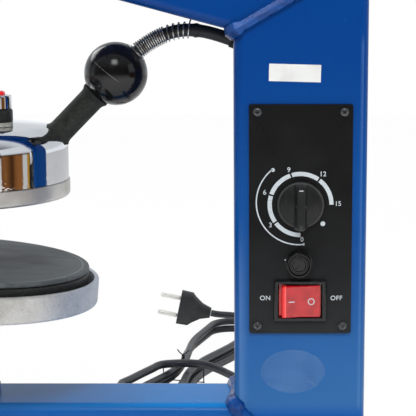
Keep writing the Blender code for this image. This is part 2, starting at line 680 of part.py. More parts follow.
def make_seat_cup(surfaces, platen):
    """The cup under the dish that sits on the pedestal's ball."""
    top = DISH_Z - SEAT
    inner = SEAT_BALL_RADIUS + SEAT
    low = -math.degrees(math.asin(SEAT_CUP_WRAP / inner))
    high = math.degrees(math.acos(WIRE_HOLE_RADIUS / inner))
    outline = arc((0, LEAN_Z), inner, low, high, 2 * ARC_STEPS)
    outline += [(WIRE_HOLE_RADIUS, top), (SEAT_CUP_RADIUS, top),
                (SEAT_CUP_RADIUS, LEAN_Z - SEAT_CUP_WRAP)]
    shape = turned(outline, MID_STEPS)
    bmesh.ops.translate(shape, verts=shape.verts, vec=(0, 0, -LEAN_Z))
    piece("platen_seat", shape, surfaces["dark_steel"], platen)


def make_lower_head(surfaces):
    """The cast dish with its heated plate, work pad and element, leaning on the pedestal's ball."""
    platen = pivot("platen_lean", (PRESS_X, 0, LEAN_Z))
    platen.rotation_mode = "QUATERNION"
    platen.rotation_quaternion = Quaternion(LEAN_AXIS, LEAN_ANGLE)
    make_seat_cup(surfaces, platen)
    centre = pivot("lower_head", (0, 0, -LEAN_Z))
    centre.parent = platen
    top = DISH_Z + DISH_HEIGHT
    inner = DISH_RADIUS - DISH_RIM
    floor = DISH_Z + DISH_FLOOR
    outline = [(WIRE_HOLE_RADIUS, DISH_Z), (DISH_RADIUS - DISH_ROUND, DISH_Z)]
    outline += arc((DISH_RADIUS - DISH_ROUND, DISH_Z + DISH_ROUND), DISH_ROUND, -90, 0, 2)[1:]
    outline += arc((DISH_RADIUS - DISH_ROUND, top - DISH_ROUND), DISH_ROUND, 0, 90, 2)
    outline += [(inner, top), (inner, floor), (WIRE_HOLE_RADIUS, floor)]
    piece("lower_dish", turned(outline, BIG_STEPS), surfaces["aluminium"], centre)

    roof = LOWER_PLATE_Z + 2 * ELEMENT_TUBE_RADIUS + 2 * SEAT
    rim = LOWER_PLATE_Z + LOWER_PLATE_HEIGHT
    outline = [(0, roof), (LOWER_PLATE_RADIUS - DISH_RIM, roof),
               (LOWER_PLATE_RADIUS - DISH_RIM, LOWER_PLATE_Z), (LOWER_PLATE_RADIUS, LOWER_PLATE_Z),
               (LOWER_PLATE_RADIUS, rim - LOWER_GROOVE), (LOWER_PLATE_RADIUS - LOWER_GROOVE, rim),
               (0, rim)]
    piece("lower_plate", turned(outline, BIG_STEPS), surfaces["black_coating"], centre)

    corner = (LOWER_PLATE_RADIUS - PAD_ROUND, PAD_TOP - PAD_ROUND)
    outline = [(0, PAD_Z), (LOWER_PLATE_RADIUS - PAD_ROUND, PAD_Z),
               (LOWER_PLATE_RADIUS, PAD_Z + PAD_ROUND)]
    outline += arc(corner, PAD_ROUND, 0, 90, 2) + [(0, PAD_TOP)]
    piece("work_pad", turned(outline, BIG_STEPS), surfaces["black_rubber"], centre)

    height = LOWER_PLATE_Z + ELEMENT_TUBE_RADIUS
    heating_element("lower_element", surfaces, centre, LOWER_ELEMENT_RADIUS, height)


def heating_element(name, surfaces, centre, radius, height):
    steps = BIG_STEPS // 2
    sweep = math.tau - ELEMENT_OPENING
    angles = [ELEMENT_OPENING / 2 + sweep * step / steps for step in range(steps + 1)]
    points = [Vector((radius * math.cos(a), radius * math.sin(a), height)) for a in angles]
    tube(name, points, ELEMENT_TUBE_RADIUS, surfaces["dark_steel"], centre, resolution=1)


def make_upper_head(surfaces, head):
    """The chrome dome, the heated plate under it and what lies between them."""
    floor = UPPER_PLATE_Z + UPPER_FLOOR
    ledge = UPPER_PLATE_Z + UPPER_PLATE_HEIGHT
    spigot = ledge + UPPER_SPIGOT_HEIGHT
    spigot_radius = DOME_RADIUS - DOME_WALL - SEAT
    corner = (UPPER_PLATE_RADIUS - UPPER_PLATE_ROUND, UPPER_PLATE_Z + UPPER_PLATE_ROUND)
    outline = [(0, UPPER_PLATE_Z)] + arc(corner, UPPER_PLATE_ROUND, -90, 0, 3)
    outline += [(UPPER_PLATE_RADIUS, ledge), (spigot_radius, ledge), (spigot_radius, spigot),
                (UPPER_RECESS_RADIUS, spigot), (UPPER_RECESS_RADIUS, floor), (0, floor)]
    piece("upper_plate", turned(outline, BIG_STEPS), surfaces["aluminium"], head)

    height = floor + SEAT + ELEMENT_TUBE_RADIUS
    heating_element("upper_element", surfaces, head, UPPER_ELEMENT_RADIUS, height)
    base = height + ELEMENT_TUBE_RADIUS + SEAT
    disc = ring(UPPER_RECESS_RADIUS - SEAT, SPACER_RADIUS + SEAT, base, base + INSULATION_THICKNESS)
    insulation = piece("insulation_disc", disc, surfaces["insulation"], head)
    hole = rod(THERMOSTAT_FLANGE_RADIUS + SEAT, base - OVERRUN, base + INSULATION_THICKNESS + OVERRUN)
    boolean(insulation, cutter("insulation_hole", hole, surfaces["insulation"], head,
                               (-THERMOSTAT_REACH, 0, 0)))
    start = floor + SEAT
    step = start + THERMOSTAT_FLANGE_HEIGHT
    outline = [(0, start), (THERMOSTAT_FLANGE_RADIUS, start), (THERMOSTAT_FLANGE_RADIUS, step),
               (THERMOSTAT_RADIUS, step), (THERMOSTAT_RADIUS, start + THERMOSTAT_HEIGHT),
               (0, start + THERMOSTAT_HEIGHT)]
    piece("thermostat", turned(outline, SMALL_STEPS), surfaces["bright_steel"], head,
          (-THERMOSTAT_REACH, 0, 0))
    spacer = ring(SPACER_RADIUS, SPACER_BORE_RADIUS, start, CROWN_TOP - DOME_WALL - 2 * SEAT,
                  SMALL_STEPS)
    piece("thrust_spacer", spacer, surfaces["dark_steel"], head)
    make_dome(surfaces, head)


def dome_outline(inset):
    """The dome's section from its skirt to its crown, moved inwards by the inset."""
    side = [(DOME_RADIUS - inset, DOME_Z)]
    shoulder = arc((SHOULDER_R, SHOULDER_Z), DOME_SHOULDER - inset, 0, DOME_SHOULDER_SWEEP,
                   ARC_STEPS)
    knee = shoulder[-1]
    top = CROWN_TOP - inset
    crown_steps = 3
    rise = top - knee[1]
    shares = [step / crown_steps for step in range(1, crown_steps + 1)]
    crown = [(knee[0] * (1 - s), knee[1] + rise * (1 - (1 - s) ** 2)) for s in shares]
    return side + shoulder + crown


def make_dome(surfaces, head):
    outside = dome_outline(0)
    inside = dome_outline(DOME_WALL)
    shell = turned(outside + inside[::-1], BIG_STEPS)
    dome = piece("dome_cover", shell, surfaces["chrome"], head)
    lamp = rod(LAMP_THREAD_RADIUS + SEAT, SHOULDER_Z, CROWN_TOP + OVERRUN)
    boolean(dome, cutter("dome_lamp_hole", lamp, surfaces["chrome"], head, (*LAMP_PLACE, 0)))
    stem = rod(STEM_RADIUS + SEAT, STEM_INNER_END, DOME_SHOULDER + OVERRUN)
    boolean(dome, cutter("dome_stem_hole", stem, surfaces["chrome"], head, (SHOULDER_R, 0, SHOULDER_Z),
                         (0, HANDLE_LEAN, 0)))


def crown_height(radius):
    """The height of the dome's top at a distance from its axis."""
    knee = dome_outline(0)[ARC_STEPS + 1]
    return knee[1] + (CROWN_TOP - knee[1]) * (1 - (radius / knee[0]) ** 2)


def make_lamp(surfaces, head):
    """The pilot lamp, on a washer shaped to the dome."""
    inner_edge = LAMP_PLACE.length - LAMP_RADIUS
    place = (*LAMP_PLACE, crown_height(inner_edge) + SEAT)
    body = LAMP_WASHER_HEIGHT + SEAT
    bezel = body + LAMP_BODY_HEIGHT + SEAT
    top = bezel + LAMP_BEZEL_HEIGHT
    disc = ring(LAMP_RADIUS, LAMP_THREAD_RADIUS + SEAT, -OVERRUN, LAMP_WASHER_HEIGHT, SMALL_STEPS)
    washer = piece("lamp_washer", disc, surfaces["grey_washer"], head, place)
    envelope = turned([(0, DOME_Z)] + dome_outline(-SEAT), BIG_STEPS)
    boolean(washer, cutter("washer_dome_cut", envelope, surfaces["grey_washer"], head))
    outline = [(0, -LAMP_THREAD_LENGTH), (LAMP_THREAD_RADIUS, -LAMP_THREAD_LENGTH),
               (LAMP_THREAD_RADIUS, body), (LAMP_RADIUS, body), (LAMP_RADIUS, body + LAMP_BODY_HEIGHT),
               (0, body + LAMP_BODY_HEIGHT)]
    piece("lamp_body", turned(outline, SMALL_STEPS), surfaces["black_plastic"], head, place)
    bezel_ring = ring(LAMP_BEZEL_RADIUS, LAMP_LENS_RADIUS + SEAT, bezel, top, SMALL_STEPS, LAMP_ROUND)
    piece("lamp_bezel", bezel_ring, surfaces["chrome"], head, place)
    crest = top + LAMP_LENS_STAND
    outline = [(0, bezel), (LAMP_LENS_RADIUS, bezel), (LAMP_LENS_RADIUS, top + LAMP_ROUND)]
    outline += [(LAMP_LENS_RADIUS * 0.9, crest - LAMP_ROUND), (LAMP_LENS_RADIUS * 0.6, crest - SEAT),
                (0, crest)]
    piece("lamp_lens", turned(outline, SMALL_STEPS), surfaces["red_plastic"], head, place)


def make_handle(surfaces, head):
    """The stem, its rubber sleeve and the ball, along one axis from the dome's shoulder."""
    base = (SHOULDER_R, 0, SHOULDER_Z)
    lean = (0, HANDLE_LEAN, 0)
    mouth = BALL_REACH - math.sqrt(BALL_RADIUS ** 2 - BALL_MOUTH_RADIUS ** 2)
    stem_end = mouth + STEM_IN_BALL
    stem = ring(STEM_RADIUS, STEM_BORE_RADIUS, STEM_INNER_END, stem_end, SMALL_STEPS)
    piece("handle_stem", stem, surfaces["bright_steel"], head, base, lean)

    bore = STEM_RADIUS + SEAT
    low = SLEEVE_FLANGE_START
    low_end = low + SLEEVE_FLANGE_STEP
    high = mouth - SEAT
    outline = [(bore, low), (SLEEVE_FLANGE_RADIUS, low), (SLEEVE_FLANGE_RADIUS, low_end),
               (SLEEVE_RADIUS, low_end + SLEEVE_FLANGE_HEIGHT),
               (SLEEVE_RADIUS, high - 2 * SLEEVE_FLANGE_HEIGHT),
               (SLEEVE_FLANGE_RADIUS, high - SLEEVE_FLANGE_HEIGHT), (SLEEVE_FLANGE_RADIUS, high),
               (bore, high)]
    sleeve = piece("handle_sleeve", turned(outline, MID_STEPS), surfaces["black_rubber"], head, base, lean)
    envelope = turned([(0, DOME_Z)] + dome_outline(-SEAT), BIG_STEPS)
    boolean(sleeve, cutter("sleeve_dome_cut", envelope, surfaces["black_rubber"], head))

    exit_height = math.sqrt(BALL_RADIUS ** 2 - BALL_EXIT_RADIUS ** 2)
    mouth_height = mouth - BALL_REACH
    seat = stem_end + SEAT - BALL_REACH
    start = math.degrees(math.atan2(mouth_height, BALL_MOUTH_RADIUS))
    end = math.degrees(math.atan2(exit_height, BALL_EXIT_RADIUS))
    outline = arc((0, 0), BALL_RADIUS, start, end, 12)
    outline += [(BALL_LEAD_BORE_RADIUS, exit_height), (BALL_LEAD_BORE_RADIUS, seat), (bore, seat),
                (bore, mouth_height)]
    place = Vector(base) + handle_axis() * BALL_REACH
    piece("handle_ball", turned(outline, MID_STEPS), surfaces["black_plastic"], head, place, lean)
    collar_start = exit_height + SEAT
    collar = ring(EXIT_COLLAR_RADIUS, LEAD_RADIUS + LEAD_CLEARANCE, collar_start,
                  collar_start + EXIT_COLLAR_HEIGHT, SMALL_STEPS)
    piece("lead_collar", collar, surfaces["black_plastic"], head, place, lean)


def handle_axis():
    return Vector((math.sin(HANDLE_LEAN), 0, math.cos(HANDLE_LEAN)))


def lead_entry():
    """Where the head lead goes into the column's inner face."""
    return Vector((INNER_X, 0, ARM_CORNER_Z - LEAD_DROP))


def guard_start():
    """Where the lead leaves the ball's collar, from the handle's own axis."""
    exit_height = math.sqrt(BALL_RADIUS ** 2 - BALL_EXIT_RADIUS ** 2)
    reach = BALL_REACH + exit_height + SEAT + EXIT_COLLAR_HEIGHT + SEAT
    return Vector((PRESS_X + SHOULDER_R, 0, SHOULDER_Z)) + handle_axis() * reach


def lead_curve(steps):
    """The head lead's centre line from the collar to the column, bowed up under the arm."""
    start = guard_start()
    end = lead_entry()
    fall = Vector((math.cos(LEAD_FALL), 0, -math.sin(LEAD_FALL)))
    rise = Vector((math.cos(LEAD_RISE), 0, math.sin(LEAD_RISE)))
    span = (end - start).length
    first = start + rise * span * LEAD_BALL_PULL_SHARE
    second = end - fall * span * LEAD_COLUMN_PULL_SHARE
    points = []
    for step in range(steps + 1):
        t = step / steps
        points.append(start * (1 - t) ** 3 + first * 3 * t * (1 - t) ** 2
                      + second * 3 * t ** 2 * (1 - t) + end * t ** 3)
    return points, fall


def along(points, distance):
    """The place and the direction at a distance along a chain of points."""
    for first, second in zip(points, points[1:]):
        length = (second - first).length
        if distance <= length:
            return first + (second - first) * (distance / length), (second - first).normalized()
        distance -= length
    direction = (points[-1] - points[-2]).normalized()
    return points[-1] + direction * distance, direction


def tube(name, points, radius, surface, carrier=None, resolution=2):
    """A round tube with closed ends on a chain of points."""
    line = bpy.data.curves.new(name, "CURVE")
    line.dimensions = "3D"
    line.bevel_depth = radius
    line.bevel_resolution = resolution
    line.use_fill_caps = True
    spline = line.splines.new("POLY")
    spline.points.add(len(points) - 1)
    for point, place in zip(spline.points, points):
        point.co = (*place, 1)
    line.materials.append(surface)
    made = bpy.data.objects.new(name, line)
    bpy.context.collection.objects.link(made)
    made.parent = carrier
    return made


def make_head_lead(surfaces, head):
    points, fall = lead_curve(12)
    shift = Vector(head.location)
    first = guard_start() - handle_axis() * (LEAD_IN_BALL + EXIT_COLLAR_HEIGHT)
    last = points[-1] + fall * LEAD_TAIL
    route = [first] + points + [last]
    tube("head_lead", [point - shift for point in route], LEAD_RADIUS, surfaces["cord_black"], head)

    coil = guard_coil()
    print("least gap between the guard's turns, mm:", round(least_gap(coil, GUARD_WIRE_RADIUS, 5) / MM, 2))
    tube("spring_guard", [point - shift for point in coil], GUARD_WIRE_RADIUS, surfaces["bright_steel"],
         head, resolution=1)

    sleeve = ring(GROMMET_RADIUS, LEAD_RADIUS + LEAD_CLEARANCE, -GROMMET_LIP, GROMMET_DEPTH, SMALL_STEPS)
    piece("lead_grommet", sleeve, surfaces["black_rubber"], None, lead_entry(), LEAD_TURN)


def guard_coil():
    """The guard's wire: close turns at the ball, then open turns, round the lead's centre line."""
    centre_line = lead_curve(60)[0]
    turn_points = 9
    coil = []
    distance = GUARD_WIRE_RADIUS + SEAT
    length = sum((second - first).length for first, second in zip(centre_line, centre_line[1:]))
    close_turns = round(length * GUARD_CLOSE_SHARE / GUARD_CLOSE_PITCH)
    open_turns = round(length * GUARD_OPEN_SHARE / GUARD_OPEN_PITCH)
    for step in range((close_turns + open_turns) * turn_points + 1):
        angle = math.tau * step / turn_points
        place, direction = along(centre_line, distance)
        side = direction.cross(Vector((0, 1, 0)))
        coil.append(place + (side * math.cos(angle) + Vector((0, 1, 0)) * math.sin(angle))
                    * GUARD_COIL_RADIUS)
        close = step < close_turns * turn_points
        distance += (GUARD_CLOSE_PITCH if close else GUARD_OPEN_PITCH) / turn_points
    return coil


def least_gap(points, radius, apart):
    """The least distance between the surfaces of runs that lie more than some points apart."""
    middles = [(first + second) / 2 for first, second in zip(points, points[1:])]
    places = points + middles
    order = list(range(len(points))) + [index + 0.5 for index in range(len(middles))]
    least = math.inf
    for first in range(len(places)):
        for second in range(first + 1, len(places)):
            if abs(order[first] - order[second]) > apart:
                least = min(least, (places[first] - places[second]).length)
    return least - 2 * radius


def make_press(surfaces, spindle):
    """The nut in the arm and the screw that carries the head, with its cross handle."""
    boss = ring(NUT_BOSS_RADIUS, NUT_RADIUS + SEAT, BOSS_BOTTOM, BOSS_TOP)
    piece("nut_boss", boss, surfaces["blue_paint"], None, (PRESS_X, 0, 0))
    seat = NUT_BOTTOM + NUT_FLANGE_HEIGHT
    bore = SPINDLE_RADIUS + SEAT
    outline = [(bore, NUT_BOTTOM), (NUT_FLANGE_RADIUS, NUT_BOTTOM), (NUT_FLANGE_RADIUS, seat),
               (NUT_RADIUS, seat), (NUT_RADIUS, seat + NUT_LENGTH), (bore, seat + NUT_LENGTH)]
    piece("spindle_nut", turned(outline, MID_STEPS), surfaces["bronze"], None, (PRESS_X, 0, 0))

    foot = CROWN_TOP + SEAT + SOCKET_FLANGE_HEIGHT + SEAT
    top = HUB_BOTTOM + SPINDLE_HUB_HEIGHT
    hub = SPINDLE_HUB_RADIUS
    outline = [(0, foot), (SPINDLE_RADIUS - SPINDLE_CHAMFER, foot),
               (SPINDLE_RADIUS, foot + SPINDLE_CHAMFER), (SPINDLE_RADIUS, HUB_BOTTOM),
               (hub - SPINDLE_CHAMFER, HUB_BOTTOM), (hub, HUB_BOTTOM + SPINDLE_CHAMFER),
               (hub, top - SPINDLE_CHAMFER), (hub - SPINDLE_CHAMFER, top), (0, top)]
    screw = piece("spindle", turned(outline, MID_STEPS), surfaces["bright_steel"], spindle)
    bar_height = HUB_BOTTOM + SPINDLE_HUB_HEIGHT / 2
    hole = rod(BAR_RADIUS + SEAT, -hub - OVERRUN, hub + OVERRUN)
    boolean(screw, cutter("spindle_bar_hole", hole, surfaces["bright_steel"], spindle,
                          (0, 0, bar_height), (math.pi / 2, 0, 0)))
    collar = ring(COLLAR_RADIUS, SPINDLE_RADIUS + SEAT, COLLAR_TOP - COLLAR_HEIGHT, COLLAR_TOP,
                  MID_STEPS, LAMP_ROUND)
    piece("stop_collar", collar, surfaces["dark_steel"], spindle)
    make_cross_handle(surfaces, spindle, bar_height)


def make_cross_handle(surfaces, spindle, bar_height):
    half = BAR_LENGTH / 2
    bar = rod(BAR_RADIUS, -half, half, SMALL_STEPS, LAMP_ROUND)
    piece("cross_bar", bar, surfaces["bright_steel"], spindle, (0, 0, bar_height), (math.pi / 2, 0, 0))
    bore = BAR_RADIUS + SEAT
    mouth_radius = bore + SPINDLE_CHAMFER
    mouth = -math.sqrt(BAR_KNOB_RADIUS ** 2 - mouth_radius ** 2)
    floor = mouth + BAR_KNOB_DEPTH
    start = math.degrees(math.atan2(mouth, mouth_radius))
    outline = arc((0, 0), BAR_KNOB_RADIUS, start, 90, 9)[:-1] + [(0, BAR_KNOB_RADIUS), (0, floor),
                                                                (bore, floor), (bore, mouth)]
    for name, side in (("front_bar_knob", -1), ("back_bar_knob", 1)):
        shape = knob_shape(outline)
        reach = half + SEAT - floor
        piece(name, shape, surfaces["black_plastic"], spindle, (0, side * reach, bar_height),
              (-side * math.pi / 2, 0, 0))


def knob_shape(outline):
    """A turned knob whose outline starts and ends at its mouth and crosses the axis twice."""
    crest = next(index for index, point in enumerate(outline) if point[0] == 0)
    ordered = outline[:crest + 1], outline[crest + 1:]
    shape = bmesh.new()
    points = [shape.verts.new((radius, 0, height)) for radius, height in ordered[0]]
    inner = [shape.verts.new((radius, 0, height)) for radius, height in ordered[1]]
    edges = [shape.edges.new(pair) for pair in zip(points, points[1:])]
    edges += [shape.edges.new(pair) for pair in zip(inner, inner[1:])]
    edges.append(shape.edges.new((inner[-1], points[0])))
    bmesh.ops.spin(shape, geom=points + inner + edges, cent=(0, 0, 0), axis=(0, 0, 1), angle=math.tau,
                   steps=SMALL_STEPS, use_merge=True, use_duplicate=False)
    return shape


def make_swivel_socket(surfaces, head):
    base = CROWN_TOP + SEAT
    floor = base + SOCKET_FLANGE_HEIGHT
    bore = SPINDLE_RADIUS + SEAT
    outline = [(0, base), (SOCKET_RADIUS, base), (SOCKET_RADIUS, floor), (SOCKET_NECK_RADIUS, floor),
               (SOCKET_NECK_RADIUS, base + SOCKET_HEIGHT), (bore, base + SOCKET_HEIGHT), (bore, floor),
               (0, floor)]
    piece("swivel_socket", turned(outline, MID_STEPS), surfaces["dark_steel"], head)


def screw_places():
    x = SCREW_SPACING_X / 2
    z = SCREW_SPACING_Z / 2
    return [(COLUMN_X - x, PANEL_Z + z), (COLUMN_X + x, PANEL_Z + z),
            (COLUMN_X - x, PANEL_Z - z), (COLUMN_X + x, PANEL_Z - z)]


def make_panel(surfaces):
    """The black plate on the column's front face, with its four screws."""
    surface = surfaces["black_coating"]
    outline = rounded_outline(PANEL_WIDTH, PANEL_HEIGHT, PANEL_CORNER, 2)
    panel = piece("panel_plate", plate(outline, PANEL_THICKNESS), surface, None,
                  (COLUMN_X, PANEL_BACK, PANEL_Z))
    holes = [("timer", TIMER_NECK_RADIUS, (COLUMN_X, PANEL_Z + TIMER_RISE)),
             ("fuse", FUSE_HOLDER_RADIUS, (FUSE_X, PANEL_Z - FUSE_DROP))]
    holes += [(f"screw_{i + 1}", SCREW_RADIUS, place) for i, place in enumerate(screw_places())]
    for label, radius, (x, z) in holes:
        hole = rod(radius + SEAT, -OVERRUN, OVERRUN, 16)
        boolean(panel, cutter(f"panel_{label}_hole", hole, surface, None, (x, PANEL_BACK, z),
                              (math.pi / 2, 0, 0)))
    opening = block((SWITCH_BODY_WIDTH + 2 * SEAT, 2 * OVERRUN, SWITCH_BODY_HEIGHT + 2 * SEAT))
    boolean(panel, cutter("panel_switch_hole", opening, surface, None,
                          (COLUMN_X, PANEL_BACK, PANEL_Z - SWITCH_DROP)))
    for index, (x, z) in enumerate(screw_places()):
        make_panel_screw(f"panel_screw_{index + 1}", surfaces, x, z)


def make_panel_screw(name, surfaces, x, z):
    """A pan-head screw with a cross slot, its head against the panel."""
    under = SEAT
    rim = under + SCREW_HEAD_HEIGHT / 2
    top = under + SCREW_HEAD_HEIGHT
    outline = [(0, -SCREW_LENGTH), (SCREW_RADIUS, -SCREW_LENGTH), (SCREW_RADIUS, under),
               (SCREW_HEAD_RADIUS, under), (SCREW_HEAD_RADIUS, rim),
               (SCREW_HEAD_RADIUS * 0.7, top), (0, top)]
    screw = piece(name, turned(outline, 12), surfaces["black_coating"], None, (x, PANEL_FACE, z),
                  (math.pi / 2, 0, 0))
    slot_size = (2 * SCREW_RADIUS, SCREW_SLOT, SCREW_HEAD_HEIGHT)
    for label, turn in (("a", math.radians(20)), ("b", math.radians(110))):
        slot = block(slot_size)
        tool = cutter(f"{name}_slot_{label}", slot, surfaces["black_coating"], screw, (0, 0, top),
                      (0, 0, turn))
        boolean(screw, tool)


def make_timer(surfaces, dial):
    """The clockwork timer behind the panel and the pointer knob on its shaft."""
    centre = (COLUMN_X, PANEL_BACK + SEAT, PANEL_Z + TIMER_RISE)
    box = block((TIMER_SIZE, TIMER_DEPTH, TIMER_SIZE), KNOB_ROUND, 1)
    bmesh.ops.translate(box, verts=box.verts, vec=(0, TIMER_DEPTH / 2, 0))
    body = piece("timer_body", box, surfaces["bright_steel"], None, centre)
    neck_reach = PANEL_THICKNESS + 2 * SEAT
    outline = [(0, -OVERRUN), (TIMER_NECK_RADIUS, -OVERRUN), (TIMER_NECK_RADIUS, neck_reach),
               (TIMER_SHAFT_RADIUS, neck_reach), (TIMER_SHAFT_RADIUS, neck_reach + TIMER_SHAFT_LENGTH),
               (0, neck_reach + TIMER_SHAFT_LENGTH)]
    shaft = cutter("timer_shaft", turned(outline, 16), surfaces["bright_steel"], None, centre,
                   (math.pi / 2, 0, 0))
    boolean(body, shaft, "UNION")

    base = 2 * SEAT
    skirt = base + KNOB_SKIRT_HEIGHT
    outline = [(0, base), (KNOB_RADIUS, base), (KNOB_RADIUS, skirt - KNOB_ROUND),
               (KNOB_RADIUS - KNOB_ROUND, skirt), (0, skirt)]
    knob = piece("timer_knob", turned(outline, BIG_STEPS), surfaces["black_plastic"], dial,
                 (0, 0, 0), (math.pi / 2, 0, 0))
    grip_height = KNOB_GRIP_HEIGHT - base
    grip = block((KNOB_GRIP_WIDTH, KNOB_GRIP_LENGTH, grip_height), KNOB_ROUND)
    drop = (KNOB_GRIP_LENGTH / 2 - KNOB_RADIUS)
    tool = cutter("timer_knob_grip", grip, surfaces["black_plastic"], knob,
                  (0, -drop, base + grip_height / 2 + SEAT))
    boolean(knob, tool, "UNION")
    bore = rod(KNOB_BORE_RADIUS, -OVERRUN, TIMER_SHAFT_LENGTH + base)
    boolean(knob, cutter("timer_knob_bore", bore, surfaces["black_plastic"], knob))


def make_fuse(surfaces, fuse):
    """The panel fuse holder, and the cap that pulls the fuse link out of it."""
    z = PANEL_Z - FUSE_DROP
    flange = PANEL_THICKNESS + 2 * SEAT + FUSE_FLANGE_HEIGHT
    seat = PANEL_THICKNESS + 2 * SEAT
    outline = [(FUSE_BORE_RADIUS, flange), (FUSE_FLANGE_RADIUS, flange), (FUSE_FLANGE_RADIUS, seat),
               (FUSE_HOLDER_RADIUS, seat), (FUSE_HOLDER_RADIUS, seat - FUSE_HOLDER_LENGTH),
               (0, seat - FUSE_HOLDER_LENGTH),
               (0, seat - FUSE_HOLDER_LENGTH + TUBE_WALL),
               (FUSE_BORE_RADIUS, seat - FUSE_HOLDER_LENGTH + TUBE_WALL)]
    piece("fuse_holder", open_cup(outline), surfaces["black_plastic"], None,
          (FUSE_X, PANEL_BACK + SEAT, z), (math.pi / 2, 0, 0))

    front = flange + SEAT
    top = front + FUSE_CAP_HEIGHT
    face = FUSE_CAP_FACE_RADIUS
    plug = FUSE_BORE_RADIUS - SEAT
    outline = [(0, front - FUSE_CAP_PLUG), (plug, front - FUSE_CAP_PLUG), (plug, front),
               (FUSE_CAP_RADIUS, front), (FUSE_CAP_RADIUS, top - LAMP_ROUND),
               (FUSE_CAP_RADIUS - LAMP_ROUND, top), (face, top), (face, top - FUSE_CAP_RECESS),
               (0, top - FUSE_CAP_RECESS)]
    shape = turned(outline, 2 * FUSE_CAP_RIBS)
    for vert in shape.verts:
        flank = math.hypot(vert.co.x, vert.co.y)
        step = round(math.atan2(vert.co.y, vert.co.x) / (math.tau / (2 * FUSE_CAP_RIBS)))
        if step % 2 and flank > face + LAMP_ROUND / 2:
            vert.co.xy *= (flank - FUSE_CAP_RIB_DEPTH) / flank
    cap = piece("fuse_cap", shape, surfaces["black_plastic"], fuse, (0, 0, 0), (math.pi / 2, 0, 0), 20)
    slot = block((2 * face - 2 * LAMP_ROUND, FUSE_SLOT_WIDTH, FUSE_CAP_RECESS))
    boolean(cap, cutter("fuse_cap_slot", slot, surfaces["black_plastic"], cap,
                        (0, 0, top - FUSE_CAP_RECESS), (0, 0, math.radians(50))))
    back = front - FUSE_CAP_PLUG - SEAT
    link = rod(FUSE_LINK_RADIUS, back - FUSE_LINK_LENGTH, back, 12)
    piece("fuse_link", link, surfaces["glass"], fuse, (0, 0, 0), (math.pi / 2, 0, 0))


def open_cup(outline):
    """A turned cup whose outline crosses the axis twice, at its outside and inside floors."""
    shape = bmesh.new()
    points = [shape.verts.new((radius, 0, height)) for radius, height in outline]
    pairs = [(a, b) for a, b in zip(points, points[1:] + points[:1]) if a.co.x > 0 or b.co.x > 0]
    edges = [shape.edges.new(pair) for pair in pairs]
    bmesh.ops.spin(shape, geom=points + edges, cent=(0, 0, 0), axis=(0, 0, 1), angle=math.tau,
                   steps=SMALL_STEPS, use_merge=True, use_duplicate=False)
    return shape


def make_switch(surfaces, tilt):
    """The rocker switch: its housing with a bezel, and the rocker, which rests at OFF."""
    centre = Vector((COLUMN_X, PANEL_FACE - SEAT, PANEL_Z - SWITCH_DROP))
    bezel = block((BEZEL_WIDTH, BEZEL_STAND, BEZEL_HEIGHT), KNOB_ROUND / 2, 1)
    bmesh.ops.translate(bezel, verts=bezel.verts, vec=(0, -BEZEL_STAND / 2, 0))
    housing = piece("switch_housing", bezel, surfaces["black_plastic"], None, centre)
    body = block((SWITCH_BODY_WIDTH, SWITCH_BODY_DEPTH, SWITCH_BODY_HEIGHT))
    bmesh.ops.translate(body, verts=body.verts, vec=(0, SWITCH_BODY_DEPTH / 2 - SEAT, 0))
    boolean(housing, cutter("switch_body", body, surfaces["black_plastic"], None, centre), "UNION")
    well_depth = BEZEL_STAND + SWITCH_BODY_DEPTH - 2 * SWITCH_WALL
    clearance = 2 * ROCKER_CLEARANCE
    well = block((ROCKER_WIDTH + clearance, well_depth, ROCKER_HEIGHT + clearance))
    bmesh.ops.translate(well, verts=well.verts, vec=(0, well_depth / 2 - BEZEL_STAND - SEAT, 0))
    boolean(housing, cutter("switch_well", well, surfaces["black_plastic"], None, centre))

    half = ROCKER_WIDTH / 2
    flush = -BEZEL_STAND - ROCKER_FLUSH
    proud = flush - half * math.tan(ROCKER_TILT)
    back = ROCKER_DEPTH
    trim = half * math.sin(ROCKER_TILT)
    outline = [(half - SEAT, flush), (0, flush), (-half + SEAT * 3, proud), (-half + trim, back - trim),
               (0, back), (half - trim, back - trim)]
    offset = ROCKER_PIVOT_DEPTH
    rings = [[(x, y - offset, -ROCKER_HEIGHT / 2) for x, y in outline],
             [(x, y - offset, ROCKER_HEIGHT / 2) for x, y in outline]]
    piece("switch_rocker", loft(rings), surfaces["red_plastic"], tilt)


def smooth_route(points, spacing):
    """Evenly spaced points on a smooth curve through the chosen ones."""
    padded = [points[0] * 2 - points[1]] + points + [points[-1] * 2 - points[-2]]
    fine = []
    steps = 12
    for a, b, c, d in zip(padded, padded[1:], padded[2:], padded[3:]):
        for step in range(steps):
            t = step / steps
            fine.append((b * 2 + (c - a) * t + (a * 2 - b * 5 + c * 4 - d) * t ** 2
                         + (b * 3 - a - c * 3 + d) * t ** 3) / 2)
    fine.append(points[-1])
    length = sum((second - first).length for first, second in zip(fine, fine[1:]))
    count = max(2, round(length / spacing))
    return [along(fine, length * index / count)[0] for index in range(count + 1)]


def lead_route(start, leaving, chosen, end, arriving):
    """A stretch of cord whose two ends run straight, so that they meet their neighbours squarely."""
    straight = 2 * CORD_RADIUS
    middle = [start + leaving * straight] + chosen + [end - arriving * straight]
    return [start] + smooth_route(middle, 5 * CORD_RADIUS) + [end]


def hank_frame(u, w, z):
    """A table place from the hank's own: u along it, w across it."""
    ahead = Vector((math.cos(HANK_HEADING), math.sin(HANK_HEADING)))
    right = Vector((math.sin(HANK_HEADING), -math.cos(HANK_HEADING)))
    return ROUTE_ORIGIN + Vector((*(HANK_CENTRE + ahead * u + right * w), z))


def ease(share):
    share = min(max(share, 0), 1)
    return share * share * (3 - 2 * share)


